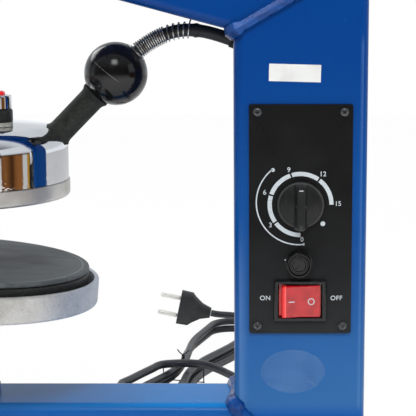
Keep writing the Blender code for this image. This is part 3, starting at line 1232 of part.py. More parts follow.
def hank_point(turn):
    """A place on the hank after some turns: left run, near fold, right run, far fold."""
    passed = turn - HANK_FIRST_TURN_SHARE
    closing, opening = HANK_REVERSAL_SHARES
    inward = HANK_STEP * (min(passed, closing) - max(passed - opening, 0))
    fold = HANK_FOLD_RADIUS - inward
    top = CORD_RADIUS + HANK_LIFT + HANK_STEP
    height = top + HANK_STEP * (1 - ease(passed / HANK_DESCENT_SHARE))
    height -= HANK_STEP * ease((passed - closing) / (opening - closing))
    phase = (turn % 1) * 4
    if phase < 1 or 2 <= phase < 3:
        share = phase if phase < 1 else phase - 2
        side = -1 if phase < 1 else 1
        u = side * HANK_HALF_RUN * (2 * share - 1)
        near = (u - HANK_WAIST_PLACE) / HANK_WAIST_REACH
        drawn = (HANK_FOLD_RADIUS - HANK_WAIST) * (1 + math.cos(math.pi * near)) / 2
        w = side * (fold - (drawn if abs(near) < 1 else 0))
        return hank_frame(u, w, height)
    side = -1 if phase < 2 else 1
    angle = math.pi * (phase - (1 if phase < 2 else 3))
    return hank_frame(side * (HANK_HALF_RUN + fold * math.sin(angle)), side * fold * math.cos(angle),
                      height)


def hank_route():
    count = round(HANK_LOOPS * HANK_TURN_POINTS)
    return [hank_point(HANK_FIRST_TURN_SHARE + HANK_LOOPS * index / count) for index in range(count + 1)]


def make_mains_lead(surfaces):
    """The strain relief, the cord out to its hank, the hank, and the cord on to the plug."""
    surface = surfaces["cord_black"]
    back = TUBE_DEPTH / 2 + SEAT
    bore = CORD_RADIUS + SEAT
    neck = TUBE_WALL + SEAT
    ribs = 4
    taper = [(GLAND_ROOT_RADIUS + (GLAND_TIP_RADIUS - GLAND_ROOT_RADIUS) * step / ribs,
              GLAND_FLANGE_HEIGHT + (GLAND_LENGTH - GLAND_FLANGE_HEIGHT) * step / ribs)
             for step in range(ribs + 1)]
    outline = [(0, -neck - GLAND_FLANGE_HEIGHT), (GLAND_NECK_RADIUS, -neck - GLAND_FLANGE_HEIGHT),
               (GLAND_NECK_RADIUS, 0), (GLAND_FLANGE_RADIUS, 0),
               (GLAND_FLANGE_RADIUS, GLAND_FLANGE_HEIGHT)] + taper
    outline += [(0, GLAND_LENGTH)]
    piece("cord_gland", turned(outline, SMALL_STEPS), surfaces["black_rubber"], None,
          (COLUMN_X, back, GLAND_RISE), (-math.pi / 2, 0, 0))

    hank = hank_route()
    apart = HANK_TURN_POINTS / 2
    print("least gap between the hank's runs, mm:", round(least_gap(hank, CORD_RADIUS, apart) / MM, 2))
    tube("cord_hank", hank, CORD_RADIUS, surface, resolution=1)

    into = (hank[1] - hank[0]).normalized()
    start = Vector((COLUMN_X, back + GLAND_LENGTH + SEAT, GLAND_RISE))
    chosen = [ROUTE_ORIGIN + Vector(place) * MM for place in LEAD_OUT_ROUTE]
    route = lead_route(start, Vector((0, 1, 0)), chosen, hank[0] - into * SEAT, into)
    tube("mains_cord", route, CORD_RADIUS, surface)

    out = (hank[-1] - hank[-2]).normalized()
    plug_axis = Vector((-math.cos(PLUG_NOSE_UP), 0, math.sin(PLUG_NOSE_UP)))
    relief_end = ROUTE_ORIGIN + PLUG_PLACE - plug_axis * (PLUG_SECTIONS[-1][0] * MM + SEAT)
    chosen = [ROUTE_ORIGIN + Vector(place) * MM for place in LEAD_PLUG_ROUTE]
    route = lead_route(hank[-1] + out * SEAT, out, chosen, relief_end, plug_axis)
    tube("plug_cord", route, CORD_RADIUS, surface)
    make_tie(surfaces)
    make_plug(surfaces)


def make_tie(surfaces):
    """A wire tie once round the hank's waist, with its two ends standing up."""
    half = HANK_WAIST + CORD_RADIUS + 5 * TIE_RADIUS
    top = 2 * CORD_RADIUS + HANK_STEP + HANK_LIFT + 2 * TIE_RADIUS
    bottom = TIE_RADIUS
    corner = CORD_RADIUS / 2
    rise = top - bottom
    outline = rounded_outline(2 * half, rise, corner, 3)
    start = len(outline) // 4
    loop = outline[start:] + outline[:start]
    middle = (top + bottom) / 2
    places = [(w, middle + z) for w, z in loop]
    lift = 3 * TIE_RADIUS
    places = [(-lift, top + lift + TIE_TAIL), (-lift, top + lift), (-lift - corner, top)] + places
    places += [(lift + corner, top), (lift, top + lift), (lift + corner, top + lift + TIE_TAIL)]
    points = [hank_frame(HANK_WAIST_PLACE, w, z) for w, z in places]
    tube("hank_tie", points, TIE_RADIUS, surfaces["cord_black"], resolution=1)


def make_plug(surfaces):
    """The moulded two-pin plug, standing on its edge with its pins a little raised."""
    carrier = pivot("plug", ROUTE_ORIGIN + PLUG_PLACE)
    carrier.rotation_euler = (0, PLUG_NOSE_UP, 0)
    rings = []
    for reach, tall, thick in PLUG_SECTIONS:
        outline = rounded_outline(2 * tall * MM, 2 * thick * MM, PLUG_ROUND_SHARE * thick * MM, 3)
        rings.append([(reach * MM, y, z) for z, y in outline])
    piece("plug_body", loft(rings), surfaces["black_rubber"], carrier, smooth=40)
    for name, side in (("plug_pin_lower", -1), ("plug_pin_upper", 1)):
        pin = rod(PIN_RADIUS, SEAT, PIN_LENGTH, 12, PIN_TIP)
        piece(name, pin, surfaces["nickel"], carrier, (0, 0, side * PIN_SPACING / 2),
              (0, -math.pi / 2, 0))


def build():
    clear_scene()
    surfaces = make_materials()
    make_frame(surfaces)
    make_lower_head(surfaces)

    head = pivot("head_travel", (PRESS_X, 0, 0))
    make_upper_head(surfaces, head)
    make_swivel_socket(surfaces, head)
    make_lamp(surfaces, head)
    make_handle(surfaces, head)
    make_head_lead(surfaces, head)

    spindle = pivot("spindle_turn", (PRESS_X, 0, 0))
    make_press(surfaces, spindle)
    make_panel(surfaces)
    dial = pivot("timer_turn", (COLUMN_X, PANEL_FACE, PANEL_Z + TIMER_RISE))
    make_timer(surfaces, dial)
    fuse = pivot("fuse_pull", (FUSE_X, PANEL_BACK + SEAT, PANEL_Z - FUSE_DROP))
    make_fuse(surfaces, fuse)
    rocker_place = (COLUMN_X, PANEL_FACE - SEAT + ROCKER_PIVOT_DEPTH, PANEL_Z - SWITCH_DROP)
    tilt = pivot("rocker_tilt", rocker_place)
    make_switch(surfaces, tilt)
    make_mains_lead(surfaces)


build()
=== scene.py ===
import math

import bmesh
import bpy
from mathutils import Matrix, Quaternion, Vector


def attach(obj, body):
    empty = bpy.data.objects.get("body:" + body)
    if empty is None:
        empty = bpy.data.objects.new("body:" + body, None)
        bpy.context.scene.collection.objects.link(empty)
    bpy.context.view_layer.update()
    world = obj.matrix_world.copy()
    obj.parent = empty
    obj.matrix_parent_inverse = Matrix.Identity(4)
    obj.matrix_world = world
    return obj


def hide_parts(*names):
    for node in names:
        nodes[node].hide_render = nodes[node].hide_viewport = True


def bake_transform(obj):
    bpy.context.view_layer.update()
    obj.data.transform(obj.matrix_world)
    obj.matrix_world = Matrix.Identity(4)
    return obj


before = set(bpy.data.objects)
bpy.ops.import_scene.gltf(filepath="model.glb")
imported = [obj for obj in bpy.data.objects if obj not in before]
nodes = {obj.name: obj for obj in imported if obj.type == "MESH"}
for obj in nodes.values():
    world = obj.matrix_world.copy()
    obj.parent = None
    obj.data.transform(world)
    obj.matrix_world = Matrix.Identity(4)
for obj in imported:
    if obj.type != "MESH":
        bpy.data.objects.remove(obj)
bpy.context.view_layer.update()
mm = 0.001

# the main places of the frame, the same as in the part's source
place = {
    "pressX": -85.112 * mm,
    "columnX": 125.888 * mm,
    "frontY": -25 * mm,
    "panelFace": -26.8 * mm,
    "dialZ": 210.9 * mm,
    "fuseX": 124.988 * mm,
    "fuseZ": 175.5 * mm,
    "switchZ": 152.3 * mm,
    "leanZ": 132.319 * mm,
    "stem": (-31.01 * mm, 0, 241.78 * mm),
    "ball": (13.99 * mm, 0, 287.57 * mm),
    "lamp": (-56.41 * mm, -18 * mm, 258.21 * mm),
    "handleLean": 44.5,
}

cameraSettings = {"focalPixels": 1200, "pictureWidth": 416, "pitch": 8.8, "shiftPixels": -54,
                  "sideways": -23 * mm, "back": 734.4 * mm, "height": 318.4 * mm,
                  "sensor": 36, "near": 0.02, "far": 40}


def cameraSpot():
    s = cameraSettings
    return Vector((place["columnX"] + s["sideways"], -s["back"], s["height"]))


def makeCamera():
    s = cameraSettings
    data = bpy.data.cameras.new("photoCamera")
    data.sensor_width = s["sensor"]
    data.lens = s["focalPixels"] / s["pictureWidth"] * s["sensor"]
    data.shift_x = s["shiftPixels"] / s["pictureWidth"]
    data.clip_start = s["near"]
    data.clip_end = s["far"]
    camera = bpy.data.objects.new("photoCamera", data)
    camera.location = cameraSpot()
    camera.rotation_euler = (math.radians(90 - s["pitch"]), 0, 0)
    bpy.context.collection.objects.link(camera)
    bpy.context.scene.camera = camera


makeCamera()
print("camera is set")


# a socket of a shader tree: sums with wires add Math nodes, and the rest adds other nodes
class Wire:
    def __init__(self, tree, socket=None):
        self.tree = tree
        self.socket = socket

    def node(self, kind, settings=None, inputs=None, out=0):
        made = self.tree.nodes.new(kind)
        for name, value in (settings or {}).items():
            setattr(made, name, value)
        for name, value in (inputs or {}).items():
            if isinstance(value, Wire):
                self.tree.links.new(value.socket, made.inputs[name])
            else:
                made.inputs[name].default_value = value
        return Wire(self.tree, made.outputs[out])

    def maths(self, operation, first, second=0.0):
        return self.node("ShaderNodeMath", {"operation": operation}, {0: first, 1: second})

    def __add__(self, other):
        return self.maths("ADD", self, other)

    def __sub__(self, other):
        return self.maths("SUBTRACT", self, other)

    def __rsub__(self, other):
        return self.maths("SUBTRACT", other, self)

    def __mul__(self, other):
        return self.maths("MULTIPLY", self, other)

    def __pow__(self, other):
        return self.maths("POWER", self, other)

    __radd__ = __add__
    __rmul__ = __mul__

    def spot(self, scale=(1, 1, 1), turn=(0, 0, 0), shift=(0, 0, 0)):
        where = self.node("ShaderNodeTexCoord", out=3)  # Object coordinates
        return self.node("ShaderNodeMapping", {"vector_type": "POINT"},
                         {"Vector": where, "Scale": scale, "Rotation": turn, "Location": shift})

    def noise(self, scale, detail=3.0, rough=0.5, where=None, warp=0.0):
        return self.node("ShaderNodeTexNoise", None,
                         {"Vector": where or self.spot(), "Scale": scale, "Detail": detail,
                          "Roughness": rough, "Distortion": warp})

    def between(self, low, high, toLow=0.0, toHigh=1.0):
        return self.node("ShaderNodeMapRange", {"interpolation_type": "SMOOTHSTEP"},
                         {"Value": self, "From Min": low, "From Max": high, "To Min": toLow,
                          "To Max": toHigh})

    def blend(self, first, second):
        first = (*first, 1) if isinstance(first, tuple) else first
        second = (*second, 1) if isinstance(second, tuple) else second
        return self.node("ShaderNodeMix", {"data_type": "RGBA"}, {0: self, 6: first, 7: second}, 2)

    def axis(self, name, where=None):
        return self.node("ShaderNodeSeparateXYZ", None, {0: where or self.spot()}, "XYZ".index(name))

    def fromAxis(self, centre, other):  # how far a point lies from a line through the centre
        where = self.spot(shift=[-value for value in centre])
        first, second = self.axis("X", where), self.axis(other, where)
        return (first * first + second * second) ** 0.5

    def bump(self, height, strength):
        return self.node("ShaderNodeBump", None,
                         {"Height": height, "Distance": 1.0, "Strength": strength})


# a colour from 0 to 255 as the renderer counts it
def linear(red, green, blue):
    return tuple(((c / 255 + 0.055) / 1.055) ** 2.4 if c > 10 else c / 255 / 12.92
                 for c in (red, green, blue))


# the finishes: each takes an empty wire and gives the sockets that change over the surface
def bluePaint(g):
    s = {"high": linear(0, 55, 122), "middle": linear(0, 68, 136), "low": linear(40, 94, 150),
         "worn": linear(52, 96, 150), "foot": linear(0, 76, 150), "sheenColour": linear(120, 160, 208),
         "ledgeLeft": linear(26, 88, 148), "ledgeRight": linear(0, 116, 190),
         "middleZ": (0.31, 0.19), "lowZ": (0.19, 0.07), "footZ": (0.088, 0.078),
         "facingUp": (0.6, 0.9), "ledgeZ": (0.092, 0.084), "ledgeX": (-0.04, 0.07),
         "frontY": (-0.0238, -0.0246), "columnTop": (0.313, 0.305), "columnFoot": (0.082, 0.086),
         "leftEdgeHighlight": ((-0.0388, -0.0398), (-0.045, -0.0405)),
         "rightBandHighlight": ((0.0345, 0.0385), (0.045, 0.042)), "paleX": (-0.030, -0.041),
         "paleZ": (0.21, 0.15)}
    cloud = g.noise(9, 4, 0.55)
    peel = g.noise(420, 2, 0.5)
    runs = g.noise(60, 3, 0.5, g.spot((1, 1, 0.25)))
    z = g.axis("Z")
    # painted light: the paint grows paler lower down (high, middle, low), a painted reflection of the pale
    # floor; below footZ the base tube takes a deeper blue
    height = z + (cloud - 0.5) * 0.05
    colour = height.between(*s["middleZ"]).blend(s["high"], s["middle"])
    colour = height.between(*s["lowZ"]).blend(colour, s["low"])
    colour = z.between(*s["footZ"]).blend(colour, s["foot"])
    # painted light: faces looking upward at the top of the base tube are painted paler, as lit from above,
    # and bluer towards the right
    up = g.axis("Z", g.node("ShaderNodeNewGeometry", out=1)).between(*s["facingUp"])  # by the normal
    paintedLitLedge = g.axis("X").between(*s["ledgeX"]).blend(s["ledgeLeft"], s["ledgeRight"])
    colour = (up * z.between(*s["ledgeZ"])).blend(colour, paintedLitLedge)
    # painted highlights on the column's front face: a pale line along its left edge, a paler band near its
    # right edge and a pale sheen low on its left side
    across = g.axis("X", g.spot(shift=(-place["columnX"], 0, 0)))
    front = g.axis("Y").between(*s["frontY"]) * z.between(*s["columnTop"]) * z.between(*s["columnFoot"])
    leftEdgeHighlight = across.between(*s["leftEdgeHighlight"][0]) * across.between(*s["leftEdgeHighlight"][1])
    rightBandHighlight = across.between(*s["rightBandHighlight"][0]) * across.between(*s["rightBandHighlight"][1])
    lowLeftSheen = across.between(*s["paleX"]) * z.between(*s["paleZ"])
    paintedSheen = front * (leftEdgeHighlight * 0.6 + rightBandHighlight * 0.32 + lowLeftSheen * 0.35)
    colour = paintedSheen.blend(colour, s["sheenColour"])
    dust = g.noise(180, 5, 0.7).between(0.60, 0.78) * g.noise(14, 3, 0.6).between(0.45, 0.7)
    colour = (dust * 0.3).blend(colour, s["worn"])
    return {"Base Color": colour, "Roughness": 0.20 + cloud * 0.10 + dust * 0.25,
            "Normal": g.bump(peel * 0.00006 + runs * 0.00022, 0.55)}


def weldPaint(g):
    blob = g.noise(150, 3, 0.55, None, 0.4)
    ripple = g.noise(420, 2, 0.5)
    colour = blob.between(0.3, 0.7).blend(linear(0, 44, 104), linear(8, 66, 134))
    return {"Base Color": colour, "Roughness": 0.22 + blob * 0.14,
            "Normal": g.bump(blob * 0.0012 + ripple * 0.0002, 0.8)}


def castAluminium(g):
    s = {"blueReflectionX": (-0.03, -0.005), "light": linear(212, 211, 207), "stained": linear(164, 163, 158),
         "blueReflection": linear(172, 184, 202), "speck": linear(236, 236, 233), "pit": linear(84, 82, 78)}
    grain = g.noise(900, 4, 0.65)
    lump = g.noise(190, 3, 0.6)
    pits = g.node("ShaderNodeTexVoronoi", {"feature": "F1"}, {"Vector": g.spot(), "Scale": 520})
    pit = pits.between(0.0, 0.28, 1.0, 0.0) * g.noise(240, 2).between(0.5, 0.62)
    colour = g.noise(28, 4, 0.6).between(0.35, 0.72).blend(s["light"], s["stained"])
    # painted reflection: the right side of the dish, nearest the column, is tinted blue as if reflecting
    # the column
    colour = (g.axis("X").between(*s["blueReflectionX"]) * 0.6).blend(colour, s["blueReflection"])
    colour = (g.noise(760, 3, 0.7).between(0.55, 0.7) * 0.5).blend(colour, s["speck"])
    colour = (pit * 0.7).blend(colour, s["pit"])
    return {"Base Color": colour, "Roughness": 0.42 + grain * 0.18,
            "Normal": g.bump(grain * 0.0003 + lump * 0.0005 - pit * 0.0003, 0.75)}


def turnedAluminium(g):
    radius = g.fromAxis((place["pressX"], 0, 0), "Y")
    rings = g.node("ShaderNodeCombineXYZ", None, {0: radius, 1: g.axis("Z")})
    groove = g.noise(2600, 2, 0.6, rings)
    wide = g.noise(420, 2, 0.5, rings)
    stain = g.noise(34, 4, 0.55).between(0.38, 0.7)
    colour = (stain * 0.6).blend(linear(214, 212, 207), linear(176, 174, 168))
    return {"Base Color": colour, "Roughness": 0.32 + groove * 0.16 + stain * 0.08,
            "Normal": g.bump(groove * 0.00004 + wide * 0.00006, 0.5)}


def blackCoating(g):
    grain = g.noise(700, 3, 0.6)
    wear = g.noise(420, 5, 0.7, g.spot((1, 1, 2.5))).between(0.52, 0.70)
    colour = (wear * 0.5).blend(linear(28, 29, 29), linear(80, 83, 84))
    return {"Base Color": colour, "Roughness": 0.42 + grain * 0.18 - wear * 0.06,
            "Normal": g.bump(grain * 0.0001, 0.6)}


def padRubber(g):
    s = {"weave": 420, "rimIn": (0.0748, 0.0755), "rimOut": (0.07605, 0.0757), "dark": linear(60, 65, 67),
         "chalky": linear(106, 113, 117), "rim": linear(140, 150, 154)}
    threads = [g.node("ShaderNodeTexWave", {"wave_type": "BANDS", "bands_direction": direction},
                      {"Vector": g.spot(), "Scale": s["weave"], "Distortion": 0.6, "Detail": 1})
               for direction in ("X", "Y")]
    streak = g.noise(260, 4, 0.7, g.spot((0.12, 1, 1))).between(0.40, 0.70)
    chalk = g.noise(30, 4, 0.6, g.spot((0.5, 1, 1))).between(0.40, 0.75)
    # painted highlight: a paler broken ring along the pad's top edge
    radius = g.fromAxis((place["pressX"], 0, 0), "Y")
    rim = radius.between(*s["rimIn"]) * radius.between(*s["rimOut"])
    rim = rim * g.noise(600, 3, 0.6).between(0.2, 0.6)
    colour = (streak * 0.28 + chalk * 0.3).blend(s["dark"], s["chalky"])
    colour = (rim * 0.6).blend(colour, s["rim"])
    shape = (threads[0] + threads[1]) * 0.00004 + g.noise(90, 3) * 0.0003
    return {"Base Color": colour, "Roughness": 0.48 + chalk * 0.2, "Normal": g.bump(shape, 0.6)}


def chromePlate(g):
    s = {"rippleZ": (0.236, 0.224), "clean": linear(228, 230, 233), "hazy": linear(196, 199, 204)}
    scratch = g.noise(240, 3, 0.6, g.spot((1, 9, 1), (0.3, 0, 0.5)))
    haze = g.noise(26, 4, 0.6).between(0.4, 0.75)
    dust = g.noise(900, 2, 0.5).between(0.68, 0.80)
    colour = (haze * 0.5 + dust * 0.3).blend(s["clean"], s["hazy"])
    rough = 0.035 + haze * 0.05 + dust * 0.16 + scratch.between(0.6, 0.8) * 0.05
    ripple = g.noise(330, 2, 0.5, g.spot((1, 1, 1.6))) * g.axis("Z").between(*s["rippleZ"])
    shape = g.noise(16, 2, 0.4) * 0.0006 + scratch * 0.000006 + ripple * 0.00016
    return {"Base Color": colour, "Roughness": rough, "Normal": g.bump(shape, 0.35)}


def ballPlastic(g):
    s = {"across": 0.618, "upward": 0.787, "offset": 0.00106, "width": (0.00016, 0.00006),
         "from": (-0.0135, -0.0115), "to": (0.0055, 0.003), "front": (-0.002, -0.004)}  # one long scratch
    scratch = g.noise(300, 3, 0.65, g.spot((1, 7, 1), (0.2, 0.4, 0.9)))
    smear = g.noise(42, 4, 0.6).between(0.42, 0.75)
    colour = (smear * 0.5).blend(linear(9, 9, 10), linear(24, 24, 25))
    where = g.spot(shift=(-place["ball"][0], 0, -place["ball"][2]))
    x, z = g.axis("X", where), g.axis("Z", where)
    line = x * s["across"] + z * s["upward"] + s["offset"]
    line = line.maths("ABSOLUTE", line)
    mark = line.between(*s["width"]) * x.between(*s["from"]) * x.between(*s["to"])
    mark = mark * g.axis("Y").between(*s["front"]) * g.noise(500, 3, 0.6).between(0.3, 0.6)
    colour = (mark * 0.6).blend(colour, linear(150, 150, 146))
    return {"Base Color": colour, "Roughness": 0.14 + smear * 0.12 + scratch.between(0.6, 0.72) * 0.3,
            "Normal": g.bump(g.noise(70, 2) * 0.00022, 0.4)}


def softRubber(g):
    grain = g.noise(1100, 3, 0.6)
    bloom = g.noise(70, 5, 0.65).between(0.42, 0.75)
    speck = g.noise(900, 4, 0.75).between(0.5, 0.72)
    colour = (bloom * 0.4 + speck * 0.5).blend(linear(22, 24, 22), linear(66, 69, 64))
    return {"Base Color": colour, "Roughness": 0.62 + grain * 0.16,
            "Normal": g.bump(grain * 0.00025 + g.noise(240, 3) * 0.0006, 0.7)}


def leadSheath(g):
    grain = g.noise(800, 2, 0.5)
    mark = g.noise(60, 4, 0.6).between(0.5, 0.8)
    colour = (mark * 0.5).blend(linear(27, 30, 34), linear(52, 56, 61))
    return {"Base Color": colour, "Roughness": 0.44 + grain * 0.12,
            "Normal": g.bump(grain * 0.00005 + g.noise(90, 2) * 0.0002, 0.5)}


def cordSheath(g):
    grain = g.noise(700, 2, 0.5)
    rub = g.noise(46, 4, 0.6).between(0.45, 0.8)
    colour = (rub * 0.6).blend(linear(33, 36, 40), linear(74, 78, 84))
    return {"Base Color": colour, "Roughness": 0.27 + grain * 0.12 + rub * 0.08,
            "Normal": g.bump(grain * 0.00005 + g.noise(60, 2) * 0.0003, 0.5)}


def plugRubber(g):
    grain = g.noise(900, 3, 0.6)
    rub = g.noise(55, 4, 0.6).between(0.42, 0.8)
    colour = (rub * 0.6).blend(linear(42, 44, 45), linear(74, 76, 76))
    return {"Base Color": colour, "Roughness": 0.40 + grain * 0.14,
            "Normal": g.bump(grain * 0.00007, 0.6)}


def pinNickel(g):
    pull = g.noise(700, 2, 0.5, g.spot((0.15, 1, 1)))
    tone = g.noise(120, 3).between(0.4, 0.7)
    colour = (tone * 0.6).blend(linear(240, 239, 233), linear(214, 212, 204))
    return {"Base Color": colour, "Roughness": 0.24 + pull * 0.14,
            "Normal": g.bump(pull * 0.00003, 0.5)}


def panelPaint(g):
    s = {"lowZ": (0.20, 0.135), "dark": linear(6, 6, 7), "paler": linear(36, 38, 39)}
    leather = g.noise(1300, 3, 0.6)
    cloud = g.noise(30, 3).between(0.35, 0.7)
    # paler in random clouds and towards the bottom
    low = g.axis("Z").between(*s["lowZ"])
    return {"Base Color": (cloud * 0.2 + low * 0.7).blend(s["dark"], s["paler"]),
            "Roughness": 0.50 + leather * 0.14, "Normal": g.bump(leather * 0.00007, 0.6)}


def printInk(g):
    wear = g.noise(1500, 3, 0.6).between(0.50, 0.74)
    colour = (wear * 0.6).blend(linear(186, 194, 199), linear(118, 124, 130))
    return {"Base Color": colour, "Roughness": 0.5 + wear * 0.2}


def knobPlastic(g):
    s = {"lineIn": (0.0127, 0.0131), "lineOut": (0.0139, 0.0135), "line": linear(86, 86, 84),
         "dark": linear(16, 17, 17), "scuffed": linear(50, 50, 49)}
    grain = g.noise(1500, 3, 0.6)
    touch = g.noise(90, 3).between(0.4, 0.75)
    scuff = g.noise(520, 4, 0.7, g.spot((1, 1, 0.16))).between(0.56, 0.74)
    # painted highlight: a paler ring on the skirt's rounded edge
    radius = g.fromAxis((place["columnX"], 0, place["dialZ"]), "Z")
    line = radius.between(*s["lineIn"]) * radius.between(*s["lineOut"])
    colour = (touch * 0.4 + scuff * 0.45).blend(s["dark"], s["scuffed"])
    colour = (line * 0.4).blend(colour, s["line"])
    return {"Base Color": colour, "Roughness": 0.38 + grain * 0.16 - touch * 0.08,
            "Normal": g.bump(grain * 0.00006 + scuff * 0.00003, 0.6)}


def glossPlastic(g):
    touch = g.noise(110, 3).between(0.4, 0.75)
    colour = (touch * 0.5).blend(linear(9, 9, 10), linear(26, 26, 27))
    return {"Base Color": colour, "Roughness": 0.20 + touch * 0.14,
            "Normal": g.bump(g.noise(240, 2) * 0.0001, 0.5)}


def redRocker(g):
    s = {"litWallX": (-0.0086, -0.0094), "edgeHighlightX": ((-0.0084, -0.0088), (-0.0096, -0.0092)),
         "wall": linear(214, 6, 12), "edge": linear(250, 96, 90)}
    depth = g.noise(160, 3, 0.5).between(0.3, 0.7)
    # painted light: the rocker's left wall is painted a brighter red, as lit, with a pale painted highlight
    # line along its edge
    across = g.axis("X", g.spot(shift=(-place["columnX"], 0, 0)))
    colour = depth.blend(linear(176, 20, 26), linear(150, 12, 18))
    colour = across.between(*s["litWallX"]).blend(colour, s["wall"])
    edge = across.between(*s["edgeHighlightX"][0]) * across.between(*s["edgeHighlightX"][1])
    colour = (edge * 0.7).blend(colour, s["edge"])
    return {"Base Color": colour, "Roughness": 0.16 + g.noise(500, 2) * 0.1,
            "Normal": g.bump(g.noise(260, 2) * 0.0001, 0.5)}


def redLens(g):
    facets = g.node("ShaderNodeTexVoronoi", {"feature": "F1"}, {"Vector": g.spot(), "Scale": 620})
    tone = facets.between(0.1, 0.6)
    return {"Base Color": tone.blend(linear(240, 44, 46), linear(206, 22, 26)),
            "Roughness": 0.08 + tone * 0.1, "Normal": g.bump(facets * 0.0003, 0.5)}


def washerFibre(g):
    grain = g.noise(700, 4, 0.6)
    colour = grain.between(0.35, 0.7).blend(linear(158, 158, 152), linear(120, 120, 114))
    return {"Base Color": colour, "Roughness": 0.55 + grain * 0.15,
            "Normal": g.bump(grain * 0.0001, 0.6)}


def screwBlack(g):
    grain = g.noise(1400, 3, 0.6)
    rub = g.noise(700, 3, 0.6).between(0.5, 0.7)
    colour = (rub * 0.5).blend(linear(78, 79, 81), linear(136, 136, 138))
    return {"Base Color": colour, "Roughness": 0.22 + grain * 0.12,
            "Normal": g.bump(grain * 0.00005, 0.5)}


def springSteel(g):
    grain = g.noise(900, 3, 0.6)
    # painted reflection: brown patches stand in for a warm reflection
    warmReflection = g.noise(210, 4, 0.6).between(0.42, 0.68)
    colour = (warmReflection * 0.75).blend(linear(206, 205, 202), linear(96, 74, 58))
    return {"Base Color": colour, "Roughness": 0.26 + grain * 0.14}


def brightSteel(g):
    drawn = g.noise(1500, 2, 0.5, g.spot((1, 1, 0.06)))
    oil = g.noise(40, 4, 0.6).between(0.42, 0.75)
    colour = (oil * 0.55).blend(linear(196, 197, 198), linear(140, 140, 138))
    return {"Base Color": colour, "Roughness": 0.28 + drawn * 0.14 + oil * 0.06,
            "Normal": g.bump(drawn * 0.00004, 0.5)}


def darkSteel(g):
    scale = g.noise(120, 5, 0.62)
    oil = g.noise(30, 3).between(0.4, 0.7)
    colour = scale.between(0.35, 0.7).blend(linear(92, 92, 94), linear(60, 59, 58))
    return {"Base Color": colour, "Roughness": 0.40 + scale * 0.2 - oil * 0.1,
            "Normal": g.bump(scale * 0.0002, 0.5)}


def castBronze(g):
    grain = g.noise(500, 4, 0.6)
    brown = g.noise(50, 4, 0.6).between(0.4, 0.75)
    colour = brown.blend(linear(186, 146, 84), linear(128, 92, 52))
    return {"Base Color": colour, "Roughness": 0.32 + grain * 0.18,
            "Normal": g.bump(grain * 0.0001, 0.5)}


def micaBoard(g):
    flake = g.node("ShaderNodeTexVoronoi", {"feature": "F1"}, {"Vector": g.spot(), "Scale": 300})
    colour = flake.between(0.1, 0.6).blend(linear(214, 208, 194), linear(178, 170, 152))
    return {"Base Color": colour, "Roughness": 0.6 + flake * 0.2,
            "Normal": g.bump(flake * 0.0001, 0.5)}


def labelPaper(g):
    fibre = g.noise(1600, 4, 0.7)
    soil = g.noise(90, 4, 0.6).between(0.45, 0.8)
    colour = (soil * 0.5).blend(linear(207, 208, 206), linear(186, 185, 180))
    return {"Base Color": colour, "Roughness": 0.72 + fibre * 0.1,
            "Normal": g.bump(fibre * 0.00008, 0.5)}


def clearSticker(g):
    s = {"fleckZ": (0.104, 0.096), "clear": linear(74, 124, 184), "hazy": linear(94, 142, 198),
         "fleck": linear(190, 206, 224)}
    haze = g.noise(70, 3).between(0.35, 0.7)
    fleck = g.noise(420, 3, 0.6).between(0.66, 0.72) * g.axis("Z").between(*s["fleckZ"])
    colour = fleck.blend(haze.blend(s["clear"], s["hazy"]), s["fleck"])
    return {"Base Color": colour, "Roughness": 0.20 + haze * 0.10,
            "Alpha": 0.18 + haze * 0.06 + fleck * 0.5, "Normal": g.bump(g.noise(90, 2) * 0.0002, 0.5)}


# what stays the same all over each finish
fixedValues = {
    bluePaint: {"coat": 0.06, "coatRough": 0.06, "specular": 0.14},
    weldPaint: {"coat": 0.2, "coatRough": 0.08, "specular": 0.2},
    castAluminium: {"metallic": 0.8},
    turnedAluminium: {"metallic": 1.0},
    blackCoating: {"specular": 0.3},
    padRubber: {"specular": 0.3},
    chromePlate: {"metallic": 1.0},
    ballPlastic: {"coat": 0.1, "coatRough": 0.05, "specular": 0.4},
    softRubber: {"specular": 0.35},
    leadSheath: {"specular": 0.4},
    cordSheath: {"specular": 0.75},
    plugRubber: {"specular": 0.45},
    pinNickel: {"metallic": 0.35},
    panelPaint: {"specular": 0.22},
    printInk: {},
    knobPlastic: {"specular": 0.35},
    glossPlastic: {"coat": 0.1, "coatRough": 0.1, "specular": 0.4},
    redRocker: {"coat": 0.4, "coatRough": 0.08},
    redLens: {"coat": 0.3, "coatRough": 0.05},
    washerFibre: {},
    screwBlack: {"metallic": 0.6},
    springSteel: {"metallic": 1.0},
    brightSteel: {"metallic": 1.0},
    darkSteel: {"metallic": 0.85},
    castBronze: {"metallic": 1.0},
    micaBoard: {},
    labelPaper: {},
    clearSticker: {"specular": 0.5},
}
shaderSockets = {"metallic": "Metallic", "coat": "Coat Weight", "coatRough": "Coat Roughness",
                 "specular": "Specular IOR Level"}


def finish(paint, fixed):
    made = bpy.data.materials.new(paint.__name__)
    made.use_nodes = True
    tree = made.node_tree
    shader = tree.nodes["Principled BSDF"]
    for key, value in fixed.items():
        shader.inputs[shaderSockets[key]].default_value = value
    for socket, wire in paint(Wire(tree)).items():
        tree.links.new(wire.socket, shader.inputs[socket])
    return made


looks = {paint.__name__: finish(paint, fixed) for paint, fixed in fixedValues.items()}
print("finishes are made:", len(looks))


